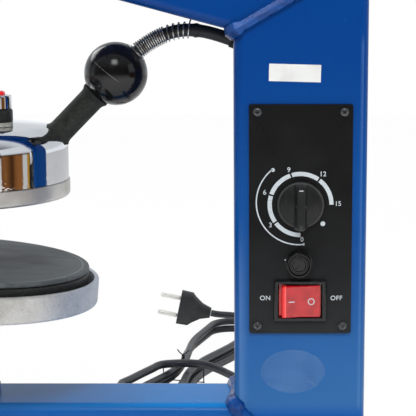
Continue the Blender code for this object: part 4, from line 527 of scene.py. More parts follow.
# the solids and their finishes, and how far the edges of some are softened, in mm
dressing = {
    "bluePaint": ["base_tube", "column_tube", "arm_tube", "foot_left", "foot_right", "nut_boss",
                  "pedestal"],
    "weldPaint": ["base_weld", "arm_weld"],
    "glossPlastic": ["base_end_cap", "arm_end_cap", "front_bar_knob", "back_bar_knob", "fuse_holder",
                     "fuse_cap", "switch_housing", "lamp_body"],
    "knobPlastic": ["timer_knob"],
    "redRocker": ["switch_rocker"],
    "panelPaint": ["panel_plate"],
    "screwBlack": ["panel_screw_1", "panel_screw_2", "panel_screw_3", "panel_screw_4"],
    "castBronze": ["spindle_nut"],
    "darkSteel": ["stop_collar", "cross_bar", "swivel_socket", "platen_seat", "thrust_spacer",
                  "upper_element", "lower_element"],
    "brightSteel": ["handle_stem", "thermostat", "timer_body", "lead_collar", "spindle"],
    "micaBoard": ["insulation_disc", "fuse_link"],
    "softRubber": ["cord_gland", "lead_grommet", "handle_sleeve"],
    "castAluminium": ["lower_dish"],
    "blackCoating": ["lower_plate"],
    "padRubber": ["work_pad"],
    "turnedAluminium": ["upper_plate"],
    "chromePlate": ["dome_cover", "lamp_bezel"],
    "ballPlastic": ["handle_ball"],
    "redLens": ["lamp_lens"],
    "washerFibre": ["lamp_washer"],
    "plugRubber": ["plug_body"],
    "pinNickel": ["plug_pin_lower", "plug_pin_upper"],
}
softened = {"base_tube": 0.6, "column_tube": 0.6, "arm_tube": 0.6, "foot_left": 0.8, "foot_right": 0.8,
            "panel_plate": 0.25, "switch_housing": 0.35, "switch_rocker": 0.4, "nut_boss": 0.5,
            "base_end_cap": 0.5, "arm_end_cap": 0.5, "stop_collar": 0.3, "swivel_socket": 0.4,
            "fuse_cap": 0.15, "cord_gland": 0.3, "plug_body": 1.6}
dressSettings = {"weld": 2e-6, "segments": 2, "bevelAngle": 40, "splitAngle": 32}


def dressNode(node, look):
    s = dressSettings
    mesh = node.data
    mesh.materials.clear()
    mesh.materials.append(look)
    for name in ("custom_normal", "sharp_edge", "sharp_face"):
        if name in mesh.attributes:
            mesh.attributes.remove(mesh.attributes[name])
    mesh.polygons.foreach_set("use_smooth", [True] * len(mesh.polygons))
    weld = node.modifiers.new("weld", "WELD")
    weld.merge_threshold = s["weld"]
    width = softened.get(node.name, 0)
    if width:
        bevel = node.modifiers.new("softEdge", "BEVEL")
        bevel.width = width * mm
        bevel.segments = s["segments"]
        bevel.limit_method = "ANGLE"
        bevel.angle_limit = math.radians(s["bevelAngle"])
        bevel.use_clamp_overlap = True
        lay = node.modifiers.new("evenShade", "WEIGHTED_NORMAL")
        lay.keep_sharp = False
    else:
        split = node.modifiers.new("crisp", "EDGE_SPLIT")
        split.split_angle = math.radians(s["splitAngle"])


for lookName, names in dressing.items():
    for name in names:
        dressNode(nodes[name], looks[lookName])
print("solids are dressed")


pieceSettings = {"merge": 1e-6, "bevelSegments": 3}


def addPiece(name, shape, look, body=None, replacing=(), matrix=None, bevel=0.0, sharp=35):
    s = pieceSettings
    if matrix:
        bmesh.ops.transform(shape, matrix=matrix, verts=shape.verts)
    bmesh.ops.remove_doubles(shape, verts=shape.verts, dist=s["merge"])
    bmesh.ops.recalc_face_normals(shape, faces=shape.faces)
    mesh = bpy.data.meshes.new(name)
    shape.to_mesh(mesh)
    shape.free()
    mesh.shade_smooth()
    mesh.materials.append(looks[look])
    made = bpy.data.objects.new(name, mesh)
    bpy.context.collection.objects.link(made)
    if bevel:
        edge = made.modifiers.new("softEdge", "BEVEL")
        edge.width = bevel * mm
        edge.segments = s["bevelSegments"]
        edge.limit_method = "ANGLE"
        edge.angle_limit = math.radians(sharp)
        made.modifiers.new("evenShade", "WEIGHTED_NORMAL")
    else:
        mesh.set_sharp_from_angle(angle=math.radians(sharp))
    if body:
        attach(made, body)
    if replacing:
        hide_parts(*replacing)
    return made


# turns an outline of (radius, height) points in mm about the upright axis
def spun(outline, steps=96, closed=False):
    shape = bmesh.new()
    points = [shape.verts.new((radius * mm, 0, height * mm)) for radius, height in outline]
    edges = [shape.edges.new(pair) for pair in zip(points, points[1:])]
    if closed:
        edges.append(shape.edges.new((points[-1], points[0])))
    bmesh.ops.spin(shape, geom=points + edges, cent=(0, 0, 0), axis=(0, 0, 1), angle=math.tau,
                   steps=steps, use_merge=True, use_duplicate=False)
    return shape


# points round a corner, between two angles in degrees
def bend(centre, radius, first, last, steps):
    turns = [math.radians(first + (last - first) * step / steps) for step in range(steps + 1)]
    return [(centre[0] + radius * math.cos(turn), centre[1] + radius * math.sin(turn)) for turn in turns]


# in mm and degrees from the column's axis; the hank is a long oval that is drawn in at its waist
cordSettings = {
    "radius": 3.5, "glandTip": (0, 63.6, 70), "seat": 0.3,
    "hankCentre": (-84, 340), "hankHeading": 75, "halfRun": 116, "foldRadius": 27, "waist": 12,
    "waistPlace": -36, "waistReach": 104, "step": 8, "lift": 1.5, "loops": 2.5, "turnPoints": 24,
    "firstTurn": 0.211, "descent": 0.25, "reversals": (1.0, 1.25),
    "out": [(0.0, 84.0, 69.0), (0.2, 108.0, 59.0), (0.4, 132.0, 38.0), (0.2, 158.0, 16.0),
            (0.0, 186.0, 5.2), (-0.3, 218.0, 3.7), (-0.5, 245.0, 3.7), (-5.8, 266.0, 3.7),
            (-17.8, 280.5, 3.7), (-33.1, 288.3, 4.8), (-47.6, 289.9, 9.2), (-61.0, 289.1, 15.9),
            (-74.0, 288.3, 20.6), (-87.0, 287.5, 22.1), (-100.3, 286.7, 22.1), (-112.0, 283.8, 21.7)],
    "toPlug": [(-26.3, 435.0, 4.4), (-20.4, 450.5, 3.8), (-15.2, 474.1, 3.9), (-19.9, 489.0, 5.2),
               (-30.5, 500.5, 7.4), (-44.8, 506.5, 9.8), (-58.0, 507.0, 11.2)],
    "plug": (-110.8, 507, 20.4), "noseUp": 11.5, "reliefEnd": 34.3, "finer": 3, "spacing": 5,
}
tieSettings = {"wire": 0.7, "room": 5, "gap": 3, "cornerSteps": 5, "twists": 1.5, "twistSteps": 12,
               "twistRadius": 1.1, "twistFoot": 1.2, "twistStep": 0.42, "spacing": 0.7, "thinner": 0.75,
               "leftTail": ((-2.5, -4.6, 12.0), (-1, -2.4, 8.6)),
               "rightTail": ((1, 2.6, 8.8), (2.5, 5.2, 11.0))}


# the place at a distance along a route
def along(points, distance):
    for first, second in zip(points, points[1:]):
        length = (second - first).length
        if distance <= length:
            return first + (second - first) * (distance / length)
        distance -= length
    return points[-1]


# a smooth curve through the points, given as evenly spaced ones
def smoothRoute(points, spacing):
    padded = [points[0] * 2 - points[1]] + points + [points[-1] * 2 - points[-2]]
    fine = []
    for a, b, c, d in zip(padded, padded[1:], padded[2:], padded[3:]):
        for step in range(12):
            t = step / 12
            fine.append((b * 2 + (c - a) * t + (a * 2 - b * 5 + c * 4 - d) * t ** 2
                         + (b * 3 - a - c * 3 + d) * t ** 3) / 2)
    fine.append(points[-1])
    length = sum((second - first).length for first, second in zip(fine, fine[1:]))
    count = max(2, round(length / spacing))
    return [along(fine, length * index / count) for index in range(count + 1)]


# from the hank's own axes, u along it and w across it, to the frame's
def hankFrame(u, w, z):
    s = cordSettings
    turn = math.radians(s["hankHeading"])
    x = s["hankCentre"][0] + math.cos(turn) * u + math.sin(turn) * w
    y = s["hankCentre"][1] + math.sin(turn) * u - math.cos(turn) * w
    return Vector((x, y, z))


def ease(share):
    share = min(max(share, 0), 1)
    return share * share * (3 - 2 * share)


# one turn goes along a side, round a fold, back along the other side and round the other fold
def hankPoint(turn):
    s = cordSettings
    passed = turn - s["firstTurn"]
    closing, opening = s["reversals"]
    fold = s["foldRadius"] - s["step"] * (min(passed, closing) - max(passed - opening, 0))
    height = s["radius"] + s["lift"] + s["step"]
    height += s["step"] * (1 - ease(passed / s["descent"]))
    height -= s["step"] * ease((passed - closing) / (opening - closing))
    phase = (turn % 1) * 4
    if phase < 1 or 2 <= phase < 3:
        share = phase if phase < 1 else phase - 2
        side = -1 if phase < 1 else 1
        u = side * s["halfRun"] * (2 * share - 1)
        near = (u - s["waistPlace"]) / s["waistReach"]
        drawn = (s["foldRadius"] - s["waist"]) * (1 + math.cos(math.pi * near)) / 2
        return hankFrame(u, side * (fold - (drawn if abs(near) < 1 else 0)), height)
    side = -1 if phase < 2 else 1
    turned = math.pi * (phase - (1 if phase < 2 else 3))
    return hankFrame(side * (s["halfRun"] + fold * math.sin(turned)), side * fold * math.cos(turned),
                     height)


def wireCurve(name, points, radius, look, swell=None, steps=6):
    line = bpy.data.curves.new(name, "CURVE")
    line.dimensions = "3D"
    line.bevel_depth = radius
    line.bevel_resolution = steps
    line.use_fill_caps = True
    spline = line.splines.new("POLY")
    spline.points.add(len(points) - 1)
    for index, (point, spot) in enumerate(zip(spline.points, points)):
        point.co = (*spot, 1)
        point.radius = swell(index / (len(points) - 1)) if swell else 1
    spline.use_smooth = True
    line.materials.append(looks[look])
    made = bpy.data.objects.new(name, line)
    bpy.context.collection.objects.link(made)
    return made


def asMesh(curve):
    graph = bpy.context.evaluated_depsgraph_get()
    mesh = bpy.data.meshes.new_from_object(curve.evaluated_get(graph))
    name = curve.name
    looksUsed = list(curve.data.materials)
    bpy.data.objects.remove(curve, do_unlink=True)
    mesh.name = name
    mesh.materials.clear()
    for look in looksUsed:
        mesh.materials.append(look)
    mesh.shade_smooth()
    made = bpy.data.objects.new(name, mesh)
    bpy.context.collection.objects.link(made)
    return made


# the length of a route in its own unit
def routeLength(points):
    return sum((second - first).length for first, second in zip(points, points[1:]))


# from mm about the column to metres in the frame
def inPlace(points):
    origin = Vector((place["columnX"], 0, 0))
    return [origin + point * mm for point in points]


def makeMainsCord():
    s = cordSettings
    start = Vector(s["glandTip"])
    count = round(s["loops"] * s["turnPoints"])
    fine = count * s["finer"]
    hank = [hankPoint(s["firstTurn"] + s["loops"] * index / fine) for index in range(fine + 1)]
    coarse = [hankPoint(s["firstTurn"] + s["loops"] * index / count) for index in (0, 1, count - 1, count)]
    straight = 2 * s["radius"]
    into = (coarse[1] - coarse[0]).normalized()
    out = (coarse[-1] - coarse[-2]).normalized()
    nose = math.radians(s["noseUp"])
    axis = Vector((-math.cos(nose), 0, math.sin(nose)))
    reliefEnd = Vector(s["plug"]) - axis * s["reliefEnd"]
    first = [start, start + Vector((0, straight, 0))] + [Vector(p) for p in s["out"]]
    first += [coarse[0] - into * (straight + s["seat"]), coarse[0]]
    last = [coarse[-1], coarse[-1] + out * (straight + s["seat"])] + [Vector(p) for p in s["toPlug"]]
    last += [reliefEnd - axis * straight, reliefEnd]
    route = smoothRoute(first, s["spacing"]) + hank[1:] + smoothRoute(last, s["spacing"])[1:]
    route = inPlace(route)
    length = routeLength(route)
    print("mains cord is", round(length, 3), "m long")
    cord = wireCurve("mainsCord", route, s["radius"] * mm, "cordSheath")
    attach(cord, "frame")
    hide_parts("mains_cord", "cord_hank", "plug_cord")
    return cord, route, length


def makeTie():
    s = cordSettings
    t = tieSettings
    half = s["waist"] + s["radius"] + t["room"] * t["wire"]
    top = 2 * s["radius"] + s["step"] + s["lift"] + 2 * t["wire"]
    corner = s["radius"] / 2
    low = t["wire"] + corner
    gap = t["gap"] * t["wire"] + corner
    loop = [(-gap, top)]
    for side, height, quarter in ((-1, top - corner, 90), (-1, low, 180), (1, low, 270),
                                  (1, top - corner, 0)):
        loop += bend((side * (half - corner), height), corner, quarter, quarter + 90, t["cornerSteps"])
    loop.append((gap, top))
    twist = []
    for step in range(t["twistSteps"] + 1):
        turn = math.tau * t["twists"] * step / t["twistSteps"]
        twist.append((math.cos(turn) * t["twistRadius"], top + t["twistFoot"] + step * t["twistStep"],
                      math.sin(turn) * t["twistRadius"]))
    waist = s["waistPlace"]
    route = [hankFrame(waist + u, w, top + h) for u, w, h in t["leftTail"]]
    route += [hankFrame(waist + z, -w, h) for w, h, z in reversed(twist)]
    route += [hankFrame(waist, w, h) for w, h in loop]
    route += [hankFrame(waist - z, w, h) for w, h, z in twist]
    route += [hankFrame(waist + u, w, top + h) for u, w, h in t["rightTail"]]
    route = smoothRoute(inPlace(route), t["spacing"] * mm)
    tie = asMesh(wireCurve("cordTie", route, t["wire"] * t["thinner"] * mm, "leadSheath", steps=2))
    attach(tie, "frame")
    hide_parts("hank_tie")
    return tie


mainsCord, mainsRoute, mainsLength = makeMainsCord()
cordTie = makeTie()
tuple(mainsRoute[0])

leadSettings = {"radius": 3.9, "start": (27.396, 0, 301.217), "end": (85.888, 0, 307.4), "rise": 38,
                "fall": 20, "ballPull": 0.486, "columnPull": 0.377, "inBall": 6.9, "inColumn": 7,
                "steps": 48, "swell": 0.16, "swellPlace": 0.60, "swellReach": 0.022}
coilSettings = {"radius": 4.75, "wire": 0.5, "start": 0.8, "closePitch": 1.42, "openPitch": 3.2,
                "closeShare": 0.285, "openShare": 0.265, "perTurn": 28, "centreSteps": 300,
                "tailLift": 1.2}


def leadCurve(steps):
    s = leadSettings
    start, end = Vector(s["start"]), Vector(s["end"])
    rise = Vector((math.cos(math.radians(s["rise"])), 0, math.sin(math.radians(s["rise"]))))
    fall = Vector((math.cos(math.radians(s["fall"])), 0, -math.sin(math.radians(s["fall"]))))
    span = (end - start).length
    first = start + rise * span * s["ballPull"]
    second = end - fall * span * s["columnPull"]
    points = []
    for step in range(steps + 1):
        t = step / steps
        points.append(start * (1 - t) ** 3 + first * 3 * t * (1 - t) ** 2
                      + second * 3 * t ** 2 * (1 - t) + end * t ** 3)
    return points, fall


def makeHeadLead():
    s = leadSettings
    points, fall = leadCurve(s["steps"])
    tilt = math.radians(place["handleLean"])
    handle = Vector((math.sin(tilt), 0, math.cos(tilt)))
    route = [points[0] - handle * s["inBall"]] + points + [points[-1] + fall * s["inColumn"]]
    route = [point * mm for point in route]
    length = routeLength(route)

    def swell(share):
        return 1 + s["swell"] * math.exp(-((share - s["swellPlace"]) / s["swellReach"]) ** 2)

    lead = asMesh(wireCurve("headLead", route, s["radius"] * mm, "leadSheath", swell))
    tuple(route[1])
    tuple(route[-2])
    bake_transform(lead)
    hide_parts("head_lead")
    tuple(route[0])
    [tuple(p) for p in route]
    return route


def makeSpringGuard(route):
    s = coilSettings
    centre = leadCurve(s["centreSteps"])[0]
    total = routeLength(centre)
    perTurn = s["perTurn"]
    closeTurns = round(total * s["closeShare"] / s["closePitch"])
    count = (closeTurns + round(total * s["openShare"] / s["openPitch"])) * perTurn
    sideways = Vector((0, 1, 0))
    coil = []
    distance = s["start"]
    for step in range(count + 1):
        turn = math.tau * step / perTurn
        ahead = (along(centre, distance + 0.1) - along(centre, distance - 0.1)).normalized()
        tail = max(0, step - count + perTurn // 3) / (perTurn // 3)  # the last third of a turn lifts
        radius = s["radius"] + s["tailLift"] * tail ** 2
        spoke = ahead.cross(sideways) * math.cos(turn) + sideways * math.sin(turn)
        coil.append((along(centre, distance) + spoke * radius) * mm)
        distance += (s["closePitch"] if step < closeTurns * perTurn else s["openPitch"]) / perTurn
    spring = asMesh(wireCurve("springGuard", coil, s["wire"] * mm, "springSteel", steps=2))
    tuple(route[1])
    tuple(route[-2])
    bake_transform(spring)
    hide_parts("spring_guard")


leadRoute = makeHeadLead()
makeSpringGuard(leadRoute)
print("cords are laid")


# places of the pieces that the press and the head carry
press = Matrix.Translation((place["pressX"], 0, 0))
handleTurn = Matrix.Rotation(math.radians(place["handleLean"]), 4, "Y")
handlePlace = Matrix.Translation(place["stem"]) @ handleTurn
ballPlace = Matrix.Translation(place["ball"]) @ handleTurn
lampPlace = Matrix.Translation(place["lamp"])
facing = Matrix.Rotation(math.pi / 2, 4, "X")  # turns a flat shape towards the front

domeSettings = {"side": 68.1, "foot": 222.78, "shoulderZ": 241.78, "shoulder": 14.0, "crown": 258.38,
                "sheet": 1.5, "sweep": 86, "shoulderSteps": 14, "crownSteps": 12,
                "lampHole": (8.0, 240, 264), "lampSpot": (28.7, -18.0), "stemHole": (5.8, 4, 19)}


# the dome's profile, or its inner side with a negative grow
def domeLine(grow):
    s = domeSettings
    centre = (s["side"] - s["shoulder"], s["shoulderZ"])
    points = [(s["side"] + grow, s["foot"])]
    points += bend(centre, s["shoulder"] + grow, 0, s["sweep"], s["shoulderSteps"])
    edge = points[-1]
    top = s["crown"] + grow
    for step in range(1, s["crownSteps"] + 1):
        share = 1 - step / s["crownSteps"]
        points.append((edge[0] * share, top - (top - edge[1]) * share ** 2))
    return points


def drill(name, size, matrix):
    radius, low, high = size
    shape = spun([(0, low), (radius, low), (radius, high), (0, high)], 48)
    return addPiece(name, shape, "chromePlate", matrix=matrix)


def bakeModifiers(made, tools=()):
    graph = bpy.context.evaluated_depsgraph_get()
    mesh = bpy.data.meshes.new_from_object(made.evaluated_get(graph))
    made.modifiers.clear()
    old = made.data
    made.data = mesh
    bpy.data.meshes.remove(old)
    for tool in tools:
        bpy.data.objects.remove(tool, do_unlink=True)


def makeDome():
    s = domeSettings
    outline = domeLine(0) + domeLine(-s["sheet"])[::-1]
    dome = addPiece("domeCover", spun(outline, 144, closed=True), "chromePlate", "head",
                    ["dome_cover"], press, sharp=50)
    lampSpot = press @ Matrix.Translation((s["lampSpot"][0] * mm, s["lampSpot"][1] * mm, 0))
    tools = [drill("lampHole", s["lampHole"], lampSpot), drill("stemHole", s["stemHole"], handlePlace)]
    for tool in tools:
        cut = dome.modifiers.new(tool.name, "BOOLEAN")
        cut.operation = "DIFFERENCE"
        cut.solver = "EXACT"
        cut.object = tool
    bakeModifiers(dome, tools)
    dome.data.set_sharp_from_angle(angle=math.radians(50))


upperPlateSettings = {"foot": 212.48, "flat": 66.2, "centre": (66.6, 214.68), "corner": 2.2,
                      "edgeCentre": (68.2, 221.9), "edge": 0.58, "side": 68.8, "step": 66.3,
                      "stepZ": (222.48, 226.48), "well": 60.0, "wellFloor": 218.48}


def makeUpperPlate():
    s = upperPlateSettings
    stepLow, stepHigh = s["stepZ"]
    outline = [(0, s["foot"]), (s["flat"], s["foot"])] + bend(s["centre"], s["corner"], -90, 0, 5)
    outline += [(s["side"], s["edgeCentre"][1])] + bend(s["edgeCentre"], s["edge"], 0, 90, 3)
    outline += [(s["step"], stepLow), (s["step"], stepHigh), (s["well"], stepHigh),
                (s["well"], s["wellFloor"]), (0, s["wellFloor"])]
    addPiece("upperPlate", spun(outline, 144), "turnedAluminium", "head", ["upper_plate"],
             press, sharp=40)


leanSettings = {"heading": 12.5, "angle": 5.2}  # the lower head leans on its ball seat
leanHeading = math.radians(leanSettings["heading"])
leanAxis = (-math.sin(leanHeading), math.cos(leanHeading), 0)
lean = (Matrix.Translation((place["pressX"], 0, place["leanZ"]))
        @ Quaternion(leanAxis, math.radians(leanSettings["angle"])).to_matrix().to_4x4()
        @ Matrix.Translation((0, 0, -place["leanZ"])))

lowerSettings = {"hub": 8.0, "dishFoot": 150.32, "dishFloor": 154.32, "dishWell": 79.5, "dishSide": 81.1,
                 "footCorner": 1.7, "lipCentre": (81.3, 164.82), "lip": 1.5,
                 "plateFoot": 162.22, "plateStep": (72.8, 154.62), "plateSide": 76.1,
                 "plateEdge": (74.9, 168.72), "plateCorner": 1.2,
                 "padFoot": 170.22, "padSide": 75.1, "padCorner": 1.0, "padThick": 3.0}


def makeDish():
    s = lowerSettings
    outline = [(s["hub"], s["dishFoot"]), (s["dishSide"], s["dishFoot"])]
    outline += bend((s["dishSide"], s["dishFoot"] + s["footCorner"]), s["footCorner"], -90, 0, 5)
    outline += bend(s["lipCentre"], s["lip"], 0, 80, 5) + [(80.2, 166.32), (79.9, 166.2), (79.5, 165.7)]
    outline += [(s["dishWell"], s["dishFloor"]), (s["hub"], s["dishFloor"])]
    addPiece("lowerDish", spun(outline, 160, closed=True), "castAluminium", "platen",
             ["lower_dish"], lean, sharp=40)


def makeLowerPlate():
    s = lowerSettings
    step, stepFoot = s["plateStep"]
    top = s["plateEdge"][1] + s["plateCorner"]
    outline = [(0, s["plateFoot"]), (step, s["plateFoot"]), (step, stepFoot),
               (s["plateSide"] - 0.3, stepFoot), (s["plateSide"], stepFoot + 0.3), (s["plateSide"], 168.5)]
    outline += bend(s["plateEdge"], s["plateCorner"], 0, 90, 4) + [(0, top)]
    addPiece("lowerPlate", spun(outline, 144), "blackCoating", "platen", ["lower_plate"],
             lean, sharp=40)


def makePad():
    s = lowerSettings
    corner, side, foot = s["padCorner"], s["padSide"], s["padFoot"]
    top = foot + s["padThick"]
    outline = [(0, foot), (side, foot)] + bend((side, foot + corner), corner, -90, 0, 4)
    outline += bend((side, top - corner), corner, 0, 90, 4) + [(0, top)]
    addPiece("workPad", spun(outline, 144), "padRubber", "platen", ["work_pad"], lean,
             sharp=50)


handleSettings = {"ball": 19.2, "cutLow": -16.8, "cutHigh": 17.63, "seam": 0.07, "seamHalf": 0.35,
                  "seamAngle": 0.9, "bore": 5.8, "mouth": 9.3, "leadBore": 4.5, "boreTop": 11.5,
                  "frayTop": 10.5, "fray": ((11, 0, 0.35), (23, 1, 0.22))}


def makeBall():
    s = handleSettings
    low = math.degrees(math.asin(s["cutLow"] / s["ball"]))
    high = math.degrees(math.asin(s["cutHigh"] / s["ball"]))
    seam = s["ball"] + s["seam"]
    outline = bend((0, 0), s["ball"], low, -s["seamAngle"], 22)
    outline += [(seam, -s["seamHalf"]), (seam, s["seamHalf"])]  # the mould's seam
    outline += bend((0, 0), s["ball"], s["seamAngle"], high, 22)
    outline += [(7.3, 17.9), (6.9, 17.75), (s["leadBore"], s["cutHigh"]), (s["leadBore"], s["boreTop"]),
                (s["bore"], s["boreTop"]), (s["bore"], s["cutLow"])]
    outline[0] = (s["mouth"], s["cutLow"])
    addPiece("handleBall", spun(outline, 128, closed=True), "ballPlastic", "head",
             ["handle_ball"], ballPlace, sharp=32)


def makeSleeve():
    s = handleSettings
    bore = s["bore"]
    outline = [(bore, 11.5), (8.4, 11.5), (8.9, 12.3), (8.1, 13.6), (7.7, 15.2), (7.65, 24), (7.7, 34),
               (7.75, 42.6), (8.2, 44.2), (9.0, 45.4), (9.05, 46.6), (8.5, 47.05), (bore, 47.05)]
    addPiece("handleSleeve", spun(outline, 96, closed=True), "softRubber", "head",
             ["handle_sleeve"], handlePlace, sharp=40)
    skirt = spun([(bore, 9.4), (8.9, 9.6), (8.5, 11.1), (bore, 11.2)], 96, closed=True)
    for vert in skirt.verts:  # its cut end is frayed
        if vert.co.to_2d().length > 7 * mm and vert.co.z < s["frayTop"] * mm:
            turn = math.atan2(vert.co.y, vert.co.x)
            vert.co.z += sum(math.sin(turn * waves + start) * high for waves, start, high in s["fray"]) * mm
    addPiece("sleeveSkirt", skirt, "softRubber", "head", ["handle_sleeve"], handlePlace,
             sharp=40)
    collar = [(4.3, 17.93), (5.5, 17.93), (5.8, 18.2), (5.8, 18.6), (5.5, 18.83), (4.3, 18.83)]
    addPiece("leadCollar", spun(collar, 64, closed=True), "brightSteel", "head",
             ["lead_collar"], ballPlace, sharp=40)


lampSettings = {"neck": 7.7, "neckFoot": -12, "body": 10.4, "bodyTop": 8.8, "bezel": 10.1, "bezelBore": 6.6,
                "bezelFoot": 9.1, "bezelEdge": (9.1, 16.5), "lens": 6.4, "lensEdge": (4.3, 17.9),
                "lensCorner": 2.1, "lensTop": 20.1}


def makeLamp():
    s = lampSettings
    foot = s["bezelFoot"]
    outline = [(0, s["neckFoot"]), (s["neck"], s["neckFoot"]), (s["neck"], 1.6), (10.1, 1.6),
               (s["body"], 2.0), (s["body"], 8.3), (10.0, s["bodyTop"]), (0, s["bodyTop"])]
    addPiece("lampBody", spun(outline, 96), "knobPlastic", "head", ["lamp_body"],
             lampPlace, sharp=50)
    outline = [(s["bezelBore"], foot), (9.6, foot), (s["bezel"], 9.6), (s["bezel"], 16.2)]
    outline += bend(s["bezelEdge"], 1.0, 0, 90, 5) + [(7.4, 17.5), (6.9, 17.1), (s["bezelBore"], 16.4)]
    addPiece("lampBezel", spun(outline, 96, closed=True), "chromePlate", "head",
             ["lamp_bezel"], lampPlace, sharp=40)
    outline = [(0, foot), (s["lens"], foot), (s["lens"], 17.8)]
    outline += bend(s["lensEdge"], s["lensCorner"], 8, 80, 5) + [(2.0, 20.05), (0, s["lensTop"])]
    addPiece("lampLens", spun(outline, 64), "redLens", "head", ["lamp_lens"], lampPlace,
             sharp=60)


threadSettings = {"low": 290.0, "high": 478.0, "pitch": 4.0, "steps": 48, "merge": 1e-5,
                  "ridge": ((9.8, -1.45), (10.85, -0.45), (10.85, 0.45), (9.8, 1.45))}


def makeThread():
    s = threadSettings
    shape = bmesh.new()
    points = [shape.verts.new((radius * mm, 0, (s["low"] + height) * mm)) for radius, height in s["ridge"]]
    edges = [shape.edges.new(pair) for pair in zip(points, points[1:])]
    bmesh.ops.spin(shape, geom=points + edges, cent=(0, 0, 0), axis=(0, 0, 1), angle=math.tau,
                   dvec=(0, 0, s["pitch"] / s["steps"] * mm), steps=s["steps"], use_duplicate=False)
    thread = addPiece("spindleThread", shape, "brightSteel", "spindle", (), press, sharp=25)
    turns = thread.modifiers.new("turns", "ARRAY")
    turns.count = int((s["high"] - s["low"]) / s["pitch"])
    turns.use_relative_offset = False
    turns.use_constant_offset = True
    turns.constant_offset_displace = (0, 0, s["pitch"] * mm)
    turns.use_merge_vertices = True
    turns.merge_threshold = s["merge"]


makeDome()
makeUpperPlate()
makeDish()
makeLowerPlate()
makePad()
makeBall()
makeSleeve()
makeLamp()
makeThread()
print("heads are turned")


printSettings = {"gap": 0.02, "thick": 0.05, "dialFrom": -90, "split": 54, "splitGap": 3.2, "outer": 19.7,
                 "inner": 17.15, "arcSteps": 22, "thinRadius": 25.5, "thinCentre": (-0.9, 1.2),
                 "thinWidth": 0.75, "thinSteps": 60, "thinStart": (272.9, 170), "thinEnd": (303.4, 245.8),
                 "dots": (((272.9, 170), 1.15), ((322.8, 223.7), 1.45), ((285.6, 260), 0.55)),
                 "heavier": 0.012, "capShare": 0.70}
panelTurn = (Matrix.Translation((place["columnX"], place["panelFace"] - printSettings["gap"] * mm,
                                 place["dialZ"])) @ facing)

# each number or word, the pixel of the photo that it stands on, and its height in mm
printWords = (("0", (302, 239.6), 2.7), ("3", (270.4, 225.3), 2.9), ("6", (264.7, 192.5), 2.9),
              ("9", (288.8, 170), 2.9), ("12", (322.9, 174.2), 2.9), ("15", (338.0, 203.8), 2.8),
              ("ON", (265.2, 298.2), 2.75), ("OFF", (336.3, 298.2), 2.75))


# where a pixel of the photo falls on the panel, in mm from the dial's centre
def photoSpot(pixelX, pixelY):
    s = cameraSettings
    half = s["pictureWidth"] / 2
    right = (pixelX - half + s["shiftPixels"]) / s["focalPixels"]
    rise = (half - pixelY) / s["focalPixels"]
    tilt = math.radians(-s["pitch"])
    ray = Vector((right, math.cos(tilt) - rise * math.sin(tilt), math.sin(tilt) + rise * math.cos(tilt)))
    start = cameraSpot()
    spot = start + ray * ((place["panelFace"] - start.y) / ray.y)
    return (spot.x - place["columnX"]) / mm, (spot.z - place["dialZ"]) / mm


def arcStrip(inner, outer, first, last, steps):
    shape = bmesh.new()
    turn = math.radians(first)
    ends = [shape.verts.new((radius * math.cos(turn) * mm, radius * math.sin(turn) * mm, 0))
            for radius in (inner, outer)]
    edge = shape.edges.new(ends)
    bmesh.ops.spin(shape, geom=ends + [edge], cent=(0, 0, 0), axis=(0, 0, 1),
                   angle=math.radians(last - first), steps=steps, use_duplicate=False)
    return shape


def ring(inner, outer, steps):
    shape = arcStrip(inner, outer, 0, 360, steps)
    bmesh.ops.remove_doubles(shape, verts=shape.verts, dist=pieceSettings["merge"])
    return shape


# extrudes all faces and gives the vertices that have to be moved
def raised(shape):
    return [item for item in bmesh.ops.extrude_face_region(shape, geom=shape.faces[:])["geom"]
            if isinstance(item, bmesh.types.BMVert)]


def thicken(shape, depth):
    bmesh.ops.translate(shape, verts=raised(shape), vec=(0, 0, depth * mm))
    return shape


def flatDisc(radius, spot=(0, 0), steps=24):
    shape = bmesh.new()
    bmesh.ops.create_circle(shape, cap_ends=True, segments=steps, radius=radius * mm)
    bmesh.ops.translate(shape, verts=shape.verts, vec=(spot[0] * mm, spot[1] * mm, 0))
    return shape


def flatBar(width, height, spot=(0, 0, 0), turn=0.0, cuts=(1, 1)):
    shape = bmesh.new()
    bmesh.ops.create_grid(shape, x_segments=cuts[0], y_segments=cuts[1], size=0.5 * mm,
                          matrix=Matrix.Rotation(turn, 4, "Z") @ Matrix.Diagonal((width, height, 1, 1)))
    bmesh.ops.translate(shape, verts=shape.verts, vec=Vector(spot) * mm)
    return shape


def merged(shapes):
    whole = bmesh.new()
    for shape in shapes:
        part = bpy.data.meshes.new("part")
        shape.to_mesh(part)
        whole.from_mesh(part)
        shape.free()
        bpy.data.meshes.remove(part)
    return whole


def wordShape(text, capHeight, spot):
    s = printSettings
    word = text.isalpha()
    line = bpy.data.curves.new(text, "FONT")
    line.body = text
    line.size = capHeight * mm / s["capShare"]
    line.align_x = "CENTER"
    line.align_y = "CENTER"
    line.offset = s["heavier"] * capHeight * mm
    line.space_character = 1.06 if word else 1.0
    line.extrude = s["thick"] / 2 * mm
    made = bpy.data.objects.new(text, line)
    bpy.context.collection.objects.link(made)
    graph = bpy.context.evaluated_depsgraph_get()
    mesh = bpy.data.meshes.new_from_object(made.evaluated_get(graph))
    bpy.data.objects.remove(made, do_unlink=True)
    shape = bmesh.new()
    shape.from_mesh(mesh)
    bpy.data.meshes.remove(mesh)
    fit = (Matrix.Translation((spot[0] * mm, spot[1] * mm, s["thick"] / 2 * mm))
           @ Matrix.Diagonal((1.02 if word else 1.0, 1, 1, 1)))
    bmesh.ops.transform(shape, matrix=fit, verts=shape.verts)
    return shape


